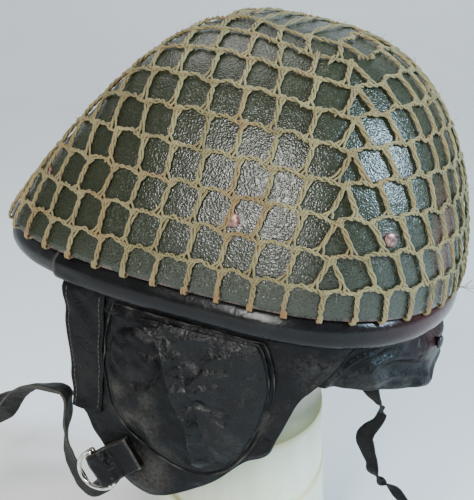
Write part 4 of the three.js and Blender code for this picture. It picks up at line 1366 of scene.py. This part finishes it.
# Seam round the pocket, down its front and up its rear, then along under the bumper.
POCKET_SEAM = np.array([
    # y, z
    (-77.5, -25), (-80, -34), (-81.2, -45), (-81.6, -58.5), (-79.7, -75), (-75.4, -88),
    (-65.6, -101), (-52, -109.5), (-37, -116), (-22, -120), (-10, -119), (2, -112),
    (11, -100), (18, -83.5), (22, -66), (23, -53), (21, -41.5), (17, -30), (14, -25),
    (5, -23.8), (-10, -23.5), (-30, -23.5), (-50, -23.5), (-66, -23.8),
], float)


def pocket_reach(turn):
    """Distance from the pocket's middle to its seam, read round the seam's table."""
    y, z = POCKET_SEAM[:, 0] - POCKET["y"], POCKET_SEAM[:, 1] - POCKET["z"]
    around = np.arctan2(z, y)
    order = np.argsort(around)
    wanted = np.mod(turn + np.pi, 2 * np.pi) - np.pi
    return np.interp(wanted, around[order], np.hypot(y, z)[order], period=2 * np.pi)


def pocket_share(y, z):
    """0 at the pocket's middle, 1 at its seam."""
    turn = np.arctan2(z - POCKET["z"], y - POCKET["y"])
    return np.minimum(np.hypot(y - POCKET["y"], z - POCKET["z"]) / pocket_reach(turn), 1)


def pocket_lift(y, z):
    """Pocket's leather: crowned, with the round ridge of an earpiece and dents below it."""
    plan = np.stack([y, z], axis=-1)
    share = pocket_share(y, z)
    lift = POCKET["out"] + POCKET["crown"] * (1 - share**2)
    ring_gap = np.hypot(y + 62, z + 53)
    lift += 1.2 * (1 - smooth(ring_gap, 12, 19)) - 1.5 * bell(ring_gap - 19, 2.4)
    fade = smooth(1 - share, 0, 0.12)
    uneven = 0.6 * waves(plan, 101, 30) + 0.5 * waves(plan, 103, 13) + 0.35 * creased(plan, 105, 15)
    return lift + fade * uneven


def ear_pocket(side):
    """Pocket: rings of points from the seam to its middle."""
    spokes, rings = 170, 54
    turn = 2 * np.pi * np.arange(spokes) / spokes
    share = np.linspace(1, 0.004, rings)
    turn, share = np.meshgrid(turn, share, indexing="ij")
    reach = share * pocket_reach(turn)
    y, z = POCKET["y"] + reach * np.cos(turn), POCKET["z"] + reach * np.sin(turn)
    edge = smooth(share, 0.93, 1.0)
    points = hood_at_side(y, z, pocket_lift(y, z) * (1 - edge) + 1.2 * edge)
    points[..., 0] *= side
    plan = np.stack([y, z], axis=-1)
    brown = smooth(-z, 60, 92) * (0.55 + 0.5 * waves(plan, 111, 26))
    seam = bell(share - 0.96, 0.025)
    # Painted shadow of the cover's standing lip: a dark band beside its front edge, with less dust under it.
    # The seam's darkening is a dark joint.
    beside_edge = along_lines(plan + np.array([4.0, 0.0]), COVER_EDGE)
    shade = np.maximum(bell(beside_edge, 3.8), 0.6 * bell(beside_edge, 13.0))
    dust = np.clip(0.5 + 0.8 * brown, 0, 1.3) * (1 - shade)
    marks = leather_marks(dust, dark=np.maximum(0.75 * seam, 0.95 * shade))
    word = WORDS[side]
    piece = sheet_piece(f"pocket_{word}", points, 1.2, marks, wrap_rows=True, flip=side > 0)
    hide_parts(f"ear_pocket_{word}")
    for scale, radius, name in ((1.0, 0.75, "inner"), (1.06, 0.6, "outer")):
        angle = np.linspace(0, 2 * np.pi, 241)[:-1]
        reach = scale * pocket_reach(angle)
        y_line = POCKET["y"] + reach * np.cos(angle)
        z_line = np.minimum(POCKET["z"] + reach * np.sin(angle), -23.0)
        welt = hood_at_side(y_line, z_line, 1.3 + 0.3 * waves(np.stack([y_line, z_line], -1), 120, 20))
        welt[:, 0] *= side
        out = np.broadcast_to(np.array([float(side), 0, 0]), welt.shape)
        bead = tubes(welt[None], out[None], radius, 8, True)
        marks = leather_marks(0.5, lambda p: 0.3 + 0.2 * waves(p, 121, 14))
        bead = tube_piece(f"pocket_welt_{name}_{word}", [bead], marks)
        wear(bead, HOOD_LEATHER, "black_leather")
    return wear(piece, HOOD_LEATHER, "black_leather")


# Creases of the crumpled cover: lines of (y, z), with width and height.
COVER_CREASES = [
    # line, width, height
    ([(-36, -36), (-24, -29), (-10, -27)], 3.0, 1.6),
    ([(-22, -59), (-15, -50), (-2, -48)], 2.6, 2.2),
    ([(-13, -42), (-8, -38), (-2, -35)], 2.2, 1.5),
    ([(-30, -66), (-18, -63), (-6, -57)], 2.4, 1.6),
    ([(-15, -70), (-3, -72.5), (2, -72)], 3.0, -2.2),
    ([(-28, -76), (-15, -70)], 2.5, -1.6),
    ([(-10, -80), (2, -83), (12, -62), (21, -59)], 3.0, 1.2),
    ([(-34, -50), (-26, -44), (-18, -46)], 2.4, -1.6),
    ([(-20, -92), (-8, -96), (4, -94)], 3.5, 0.9),
]


def pocket_cover(side):
    """Cover: spans from its torn front edge to the seam, heavily crumpled, its front edge standing off."""
    rows, columns = 120, 88
    edge = curve_through(COVER_EDGE, rows, 2)
    edge = edge + 0.5 * np.stack([waves(edge, 130, 7), 0 * edge[:, 0]], axis=-1)
    rear = POCKET_SEAM[9:19][::-1]
    seam_y = np.interp(-edge[:, 1], -rear[:, 1], rear[:, 0]) - 0.8
    across = np.linspace(0, 1, columns)[None]
    y = edge[:, :1] + (seam_y[:, None] - edge[:, :1]) * across
    z = edge[:, 1:] + 0 * across
    plan = np.stack([y, z], axis=-1)
    share = pocket_share(y, z)
    crumple = 2.3 * facets(plan, 140, 25.0, (-60, -122), (24, -20)) + 0.5 * creased(plan, 142, 30)
    crumple += 0.35 * waves(plan, 144, 20)
    for line, width, height in COVER_CREASES:
        crumple += 0.7 * height * bell(along_lines(plan, line), width)
    inside = smooth(1 - share, 0.0, 0.16)
    lip = 4.6 * (1 - smooth(across * (seam_y[:, None] - edge[:, :1]), 0, 10.0))
    base = POCKET["out"] + 2.2 + (POCKET["crown"] + 1.0) * (1 - share**2)
    base -= 2.0 * smooth(-z, 92, 118)
    under = pocket_lift(y, z) + 1.8
    lift = np.maximum(base + inside * crumple + lip * inside, under * inside + 2.4 * (1 - inside))
    points = hood_at_side(y, z, lift)
    points[..., 0] *= side
    # Painted highlight along the cover's front edge, carried in the wear mark.
    front = 1 - smooth(across * (seam_y[:, None] - edge[:, :1]), 0.3, 1.3)
    marks = leather_marks(0.35 + 0.25 * waves(plan, 146, 30), 0.15 * front)
    word = WORDS[side]
    piece = sheet_piece(f"cover_{word}", points, 1.3, marks, flip=side < 0)
    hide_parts(f"pocket_cover_{word}")
    return wear(piece, COVER_LEATHER, "black_leather")


for chosen_side in (1, -1):
    ear_flap(chosen_side)
    temple_strip(chosen_side)
    ear_pocket(chosen_side)
    pocket_cover(chosen_side)


# Drape folds of the nape: lines of (angle in degrees, z), with width in millimetres and height.
NAPE_DRAPES = [
    # line, width, height
    ([(51, -25.5), (44, -29), (38.7, -35), (33, -44), (31, -50)], 2.6, 1.7),
    ([(72, -36), (59, -32), (52, -35), (50, -38.5)], 2.4, 1.3),
    ([(82, -54), (66, -46.5), (58, -47), (53, -47)], 2.6, 1.4),
    ([(62, -26), (48, -31), (42, -38), (37, -49)], 3.2, -1.2),
    ([(80, -45), (66, -39), (57, -41)], 3.2, -1.2),
    ([(95, -50), (84, -60), (78, -57)], 3.0, 1.8),
]
NAPE_HOLES = [(37.4, -36.5), (51.6, -27), (53, -41.2), (75.1, -36.8)]
NAPE_EYELET = (60.0, -54.0)
NAPE_PER_DEGREE = 1.35


def nape_plan(angle, z):
    """Plan on the nape: millimetres along the rim and height, so that folds keep their width."""
    return np.stack([np.degrees(angle) * NAPE_PER_DEGREE, z + 0 * angle], axis=-1)


def nape_swell(angle, z):
    """How far the nape stands outwards at the middle of the back, from nothing at its top."""
    round_back = smooth(90 - np.abs(90 - np.degrees(angle)), 62, 80)
    return 7.0 * round_back * smooth(-z, 23, 34)


def nape_flap():
    """Nape flap: fold lines mirrored round the back, draped, hanging a little off the hood at its hem."""
    rows, columns = 60, 240
    mirror = NAPE_FOLDS[-2::-1] * np.array([-1, -1, 1]) + np.array([180, 180, 0])
    folds = np.vstack([NAPE_FOLDS, mirror])
    across, down = np.linspace(0, 1, columns), np.linspace(0, 1, rows)
    top, low, low_z = np.moveaxis(through(folds, across), -1, 0)
    angle = np.radians(top + (low - top) * down[:, None])
    z = (HOOD["top"] + 2.5) + (low_z - HOOD["top"] - 2.5) * down[:, None]
    plan = nape_plan(angle, z)
    near_left = 1 - smooth(np.degrees(angle), 92, 104)
    lift = 0.8 * waves(plan, 150, 46) + 0.5 * waves(plan, 152, 20)
    scale = np.array([NAPE_PER_DEGREE, 1])
    for line, width, height in NAPE_DRAPES:
        here, there = np.array(line), np.array(line) * [-1, 1] + [180, 0]
        lift += near_left * 1.6 * height * bell(along_lines(plan, here * scale), width)
        lift += (1 - near_left) * 1.3 * height * bell(along_lines(plan, there * scale), width)
    holes = to_nearest(plan, np.array(NAPE_HOLES) * scale)
    eyelet = np.hypot((plan[..., 0] - NAPE_EYELET[0] * NAPE_PER_DEGREE) / 1.8, plan[..., 1] - NAPE_EYELET[1])
    bulge = bell(np.degrees(angle) - 84, 7) * smooth(-z, 44, 58)
    lift = lift * smooth(z, -21, -28) + 3.4 * bulge
    lift -= 1.0 * bell(holes, 1.5) + 0.8 * bell(eyelet, 1.6)
    edge_gap = np.minimum((1 - down[:, None]) * 34, np.minimum(across, 1 - across)[None] * 200)
    lift -= 1.0 * (1 - smooth(edge_gap, 0, 3.5))
    tuck = 2.5 - 1.5 * smooth(90 - np.abs(90 - np.degrees(angle)), 38, 55)
    points = hood_at_angle(angle, z, lift - tuck + nape_swell(angle, z))
    # Painted shade inside the lace holes and the eyelet, carried in the dark mark.
    marks = leather_marks(
        dust=0.5 + 0.3 * waves(plan, 156, 40),
        wear=0.45 * (1 - smooth(edge_gap, 0.2, 1.2)) + 0.5 * bell(eyelet - 1.7, 0.5),
        dark=bell(holes, 1.0, 4) + bell(eyelet, 1.2, 4),
        red=0.5 * bell(np.degrees(angle) - 84, 10) * smooth(z, -48, -30),
    )
    piece = sheet_piece("nape", points, 2.0, marks)
    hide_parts("nape_flap")
    return wear(piece, HOOD_LEATHER, "black_leather")


nape_flap()


# Buckle tab, rings, strap and tie


def tab_axes():
    """Frame of the tab: origin at its fold, x towards its far edge, y across, z outwards."""
    fold = hood_at_side(np.array(TAB["fold"][0]), np.array(TAB["fold"][1]))
    far = hood_at_side(np.array(TAB["far"][0]), np.array(TAB["far"][1]))
    along = unit(far - fold)
    across = unit(np.cross([1.0, 0, 0], along))
    out = np.cross(along, across)
    return fold + out * TAB["lift"], along, across, out, np.linalg.norm(far - fold)


def on_tab(local):
    """Tab coordinates to the helmet's frame."""
    origin, along, across, out, _ = tab_axes()
    return origin + local[..., :1] * along + local[..., 1:2] * across + local[..., 2:] * out


def buckle_tab():
    """Tab: a strip out over the flap, round the rings' bars and back under itself, with a stitched box."""
    length = tab_axes()[4]
    loop = TAB["loop"]
    arc = np.linspace(np.pi / 2, 1.5 * np.pi, 24)
    profile = np.vstack([
        [(length + 1, -0.6), (length - 3, -0.5), (14, -0.4), (10.5, 1.2), (7, loop - 0.4), (3, loop)],
        np.stack([loop * np.cos(arc), loop * np.sin(arc)], axis=-1),
        [(4, -loop), (12, -loop), (length - 1, -loop)],
    ])
    profile = curve_through(profile, 110, 2)
    width = np.linspace(-0.5, 0.5, 40) * TAB["width"]
    run, wide = np.meshgrid(np.arange(110), width, indexing="ij")
    local = np.stack([profile[run, 0], wide, profile[run, 1]], axis=-1)
    ahead = np.gradient(local, axis=0)
    out = unit(np.stack([ahead[..., 2], 0 * wide, -ahead[..., 0]], axis=-1))
    local = local + out * (0.3 * waves(local, 160, 11))[..., None]
    local[..., 1] *= 1 + 0.03 * np.sin(local[..., 0] / 5)
    edge = 1 - smooth(TAB["width"] / 2 - np.abs(wide), 0.2, 1.4)
    end = 1 - smooth(run, 1, 5)
    marks = leather_marks(0.4, np.clip(0.45 * edge + 0.5 * end, 0, 1))
    piece = sheet_piece("tab", on_tab(local), 1.5, marks)
    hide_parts("buckle_tab")
    box = [(length - 2.5, -10), (length - 2.5, 10), (14.5, 10), (14.5, -10), (length - 2.5, -10)]
    cross = [[(length - 2.5, -10), (14.5, 10)], [(length - 2.5, 10), (14.5, -10)]]
    parts = []
    for line in [box] + cross:
        fine = along_straight(line, 90)
        local_line = np.stack([fine[:, 0], fine[:, 1], np.full(len(fine), 0.25)], axis=-1)
        parts.append(stitches(on_tab(local_line), tab_axes()[3], 2.4, 1.7, 0.24))
    wear(tube_piece("tab_stitches", parts), DARK_THREAD, "black_leather")
    return wear(piece, HOOD_LEATHER, "black_leather")


def d_ring(name, along, out, back_degrees):
    """Ring: a straight bar closed by a half-round bow, its wire round."""
    half = RING["bar"] / 2
    turn = np.linspace(0, np.pi, 60)
    bow = np.stack([half * np.cos(turn), -RING["bow"] * np.sin(turn) ** 0.9], axis=-1)
    bar = np.stack([np.linspace(-half, half, 30)[1:-1], np.zeros(28)], axis=-1)
    outline = along_straight(np.vstack([bow, bar, bow[:1]]), 161)[:-1]
    for _ in range(3):
        outline = 0.5 * outline + 0.25 * (np.roll(outline, 1, 0) + np.roll(outline, -1, 0))
    back = np.radians(back_degrees)
    local = np.stack([
        outline[:, 1] * np.sin(back) + along, outline[:, 0], outline[:, 1] * np.cos(back) + out], axis=-1)
    axis = np.array([np.cos(back), 0, -np.sin(back)])
    path = on_tab(local)
    up = on_tab(local + axis) - path
    piece = tube_piece(f"ring_{name[7:]}", [tubes(path[None], up[None], RING["wire"], 16, True)])
    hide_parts(name)
    return wear(piece, CHROME, "ring_chrome")


def band(name, route, across, width, thickness, marks, node):
    """Flat band: a rounded slab section carried along a route, its width along a given direction."""
    steps = len(route)
    ahead = unit(np.gradient(route, axis=0))
    wide = unit(across - (across * ahead).sum(-1, keepdims=True) * ahead)
    thick = np.cross(ahead, wide)
    flat = np.array([
        (1, 0), (0.97, 0.75), (0.85, 1), (0.4, 1), (0, 1), (-0.4, 1), (-0.85, 1), (-0.97, 0.75),
        (-1, 0), (-0.97, -0.75), (-0.85, -1), (-0.4, -1), (0, -1), (0.4, -1), (0.85, -1), (0.97, -0.75)])
    half_width = np.broadcast_to(width, steps)[:, None, None] / 2
    points = (
        route[:, None]
        + wide[:, None] * flat[None, :, :1] * half_width
        + thick[:, None] * flat[None, :, 1:] * thickness / 2
    )
    crumple = 0.22 * waves(points, 171, 12)
    points = points + thick[:, None] * crumple[..., None]
    sides = len(flat)
    faces = grid_faces(steps, sides, wrap_columns=True)[:, ::-1]
    ends = np.stack([np.arange(sides), np.arange(sides)[::-1] + (steps - 1) * sides])
    rim = np.broadcast_to((np.abs(flat[:, 0]) > 0.9).astype(float), (steps, sides))
    values = {k: np.broadcast_to(v, (steps, sides)).ravel() for k, v in marks.items()}
    values["wear"] = (values["wear"].reshape(steps, sides) * rim).ravel()
    piece = add_mesh(name, to_row(points.reshape(-1, 3)), [faces, ends], None, values)
    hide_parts(node)
    return wear(piece, STRAP_LEATHER, "strap_leather")


def hanging(piece):
    """Returns the band as it is."""
    return piece


def chin_strap():
    """Strap: its route read from the table, with worn edges."""
    rows = curve_through(STRAP_ROUTE, 420)
    marks = leather_marks(0.7, 0.55)
    piece = band("strap", rows[:, :3], rows[:, 3:], 14.0, 2.2, marks, "chin_strap")
    return hanging(piece)


def nape_tie():
    """Tie: a thin crumpled strip whose width turns and swells along it."""
    rows = curve_through(TIE_ROUTE, 150)
    turn = np.radians(rows[:, 3])
    across = np.stack([0.4 * np.cos(turn), np.cos(turn), np.sin(turn)], axis=-1)
    marks = leather_marks(0.5, 0.3)
    piece = band("tie", rows[:, :3], across, rows[:, 4] * 0.9, 1.3, marks, "nape_tie")
    return hanging(piece)


buckle_tab()
for ring in RINGS:
    d_ring(*ring)
chin_strap()
nape_tie()


# Rivets and stud


def spun_faces(rows, segments):
    """Faces of a spun profile: quads round it, and a cap at each end."""
    around = np.arange(segments)
    caps = np.stack([around[::-1], around + (rows - 1) * segments])
    return [grid_faces(rows, segments, wrap_columns=True)[:, ::-1], caps]


def turned(profile, seat, axis, segments=40):
    """Turned piece: a profile of (radius, height) spun round an axis; returns points, faces and UVs."""
    profile = np.asarray(profile, float)
    axis = unit(np.asarray(axis, float))
    first = unit(np.cross(axis, [0.3, 0.2, 1.0]))
    second = np.cross(axis, first)
    turn = 2 * np.pi * np.arange(segments) / segments
    ring = first * np.cos(turn)[:, None] + second * np.sin(turn)[:, None]
    points = seat + profile[:, None, :1] * ring + profile[:, None, 1:] * axis
    faces = spun_faces(len(profile), segments)
    return points.reshape(-1, 3), faces, np.zeros((sum(f.size for f in faces), 2))


def rivets():
    """Six rivet heads: low domes with a flattened top and a thin washer edge."""
    t = np.linspace(0, np.pi / 2, 12)
    dome = np.stack([4.6 * np.cos(t) ** 0.8, 0.5 + 1.5 * np.sin(t)], axis=-1)
    profile = np.vstack([[(4.6, -0.8)], dome[:-1], [(0.05, 2.0)]])
    parts, nodes = [], []
    for word, mirror in (("left", 1), ("right", -1)):
        for name, (angle, height) in RIVETS.items():
            share = share_at(angle)
            distance = height_up(share, height)
            seat, normal = dome_face(share, distance)
            flip = np.array([mirror, 1, 1])
            parts.append(turned(profile, seat * flip, normal * flip))
            nodes.append(f"rivet_{name}_{word}")
    piece = tube_piece("rivet_heads", parts)
    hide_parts(*nodes)
    return wear(piece, COPPER, "rivet_metal")


def nape_stud():
    """Stud: a neck and a rounded cap."""
    angle, z = np.radians(86.0), -33.0
    out = float(nape_swell(angle, z)) - 1.0
    seat = hood_at_angle(angle, np.array(z), out)
    axis = hood_at_angle(angle, np.array(z), out + 1.0) - seat
    t = np.linspace(-0.4, np.pi / 2, 10)
    cap = np.stack([4.5 * np.cos(t), 3.4 + 1.9 * np.sin(t)], axis=-1)
    profile = np.vstack([[(3.0, -0.6), (3.0, 2.2)], cap[:-1], [(0.05, 5.3)]])
    piece = tube_piece("stud", [turned(profile, seat, axis, 28)])
    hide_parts("nape_stud")
    return wear(piece, RUBBER, "rivet_metal")


rivets()
nape_stud()


# Stand


def stand_tube():
    """Stand: a turned profile in row millimetres, one turn of sheet thicker at each telescoped edge."""
    radius, turn, low, high, top = (STAND[k] for k in ("radius", "turn", "low", "high", "top"))
    bore, middle, widest = radius - STAND["wall"], radius + turn, radius + 2 * turn
    outside = np.array([
        (0.05, 0), (widest - 0.6, 0), (widest, 0.6), (widest, low - 0.3), (widest - 0.2, low),
        (middle, low + 0.02), (middle, high - 0.3), (middle - 0.2, high),
        (radius, high + 0.02), (radius, top - 0.3), (radius - 0.4, top),
    ])
    profile = []
    for first, second in zip(outside, outside[1:]):
        steps = 10 if second[1] - first[1] > 20 else 1
        profile += [first + (second - first) * k / steps for k in range(steps)]
    profile = np.array([*profile, outside[-1], (bore, top), (bore, STAND["foot"]), (0.05, STAND["foot"])])
    segments = 160
    turns = 2 * np.pi * np.arange(segments) / segments
    heights = profile[:, None, 1] + 0 * turns
    view = np.radians(CAMERA["azimuth"] - 90)
    lean = np.interp(profile[:, 1], [0, low, high, top], [0, 24, 15, 0])
    sunk = heights - lean[:, None] * np.cos(turns - view)
    points = np.stack([
        profile[:, None, 0] * np.cos(turns), profile[:, None, 0] * np.sin(turns), sunk], axis=-1)
    edge = np.maximum(bell(heights - low, 1.3), bell(heights - high, 1.3))
    # Painted shade under the helmet over the top turn, above the upper telescoped edge.
    inner = 0.5 * smooth(heights, high, high + 1)
    marks = {"edge": edge.ravel(), "inner": inner.ravel()}
    faces = spun_faces(len(profile), segments)
    piece = add_mesh("tube", points.reshape(-1, 3) / 1000, faces, None, marks)
    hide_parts("stand_tube")
    return wear(piece, PLASTIC, "stand_plastic")


stand_tube()


# Backdrop and light


def backdrop():
    """Pale floor that curves up into a wall behind the helmet, as one sheet."""
    run = np.array([-4.0, -3, -2, -1, 0, 0.6, 1.0, 1.4, 1.8, 2.1, 2.3, 2.42, 2.48, 2.5, 2.5, 2.5])
    rise = np.array([0, 0, 0, 0, 0, 0, 0, 0, 0.03, 0.12, 0.26, 0.44, 0.68, 1.0, 2.2, 5.0])
    azimuth = np.radians(CAMERA["azimuth"])
    ahead = np.array([-np.sin(azimuth), np.cos(azimuth), 0])
    side = np.array([np.cos(azimuth), np.sin(azimuth), 0])
    across = np.linspace(-5, 5, 12)
    points = run[:, None, None] * ahead + across[None, :, None] * side
    points = points + rise[:, None, None] * UP
    piece = add_mesh("backdrop", points.reshape(-1, 3), grid_faces(len(run), len(across))[:, ::-1])
    piece.data.materials.append(backdrop_paper())


def area_light(name, place, aim, size, power, colour):
    """Soft rectangular light aimed at a point."""
    data = bpy.data.lights.new(name, "AREA")
    data.shape, data.size, data.size_y = "RECTANGLE", size[0], size[1]
    data.energy, data.color = power, colour
    lamp = bpy.data.objects.new(name, data)
    lamp.location = place
    lamp.rotation_mode = "QUATERNION"
    lamp.rotation_quaternion = (Vector(aim) - Vector(place)).to_track_quat("-Z", "Y")
    bpy.context.scene.collection.objects.link(lamp)


def light_scene():
    """Soft overhead light, a window in front of the side, a cool window at the rear, and a pale room."""
    world = bpy.data.worlds.new("room")
    world.use_nodes = True
    world.node_tree.nodes["Background"].inputs["Color"].default_value = (0.80, 0.85, 0.9, 1)
    world.node_tree.nodes["Background"].inputs["Strength"].default_value = 0.26
    bpy.context.scene.world = world
    area_light("overhead", (-0.5, -0.6, 2.3), (-0.3, 0, 0), (1.6, 1.4), 26, (1.0, 0.99, 0.96))
    area_light("window", (1.95, 0.02, 1.2), (0, 0, 0.3), (0.36, 1.3), 66, (1.0, 0.99, 0.97))
    area_light("rear_window", (-0.05, 1.75, 1.1), (0, 0.05, 0.28), (0.36, 0.8), 84, (0.56, 0.80, 1.0))


backdrop()
light_scene()
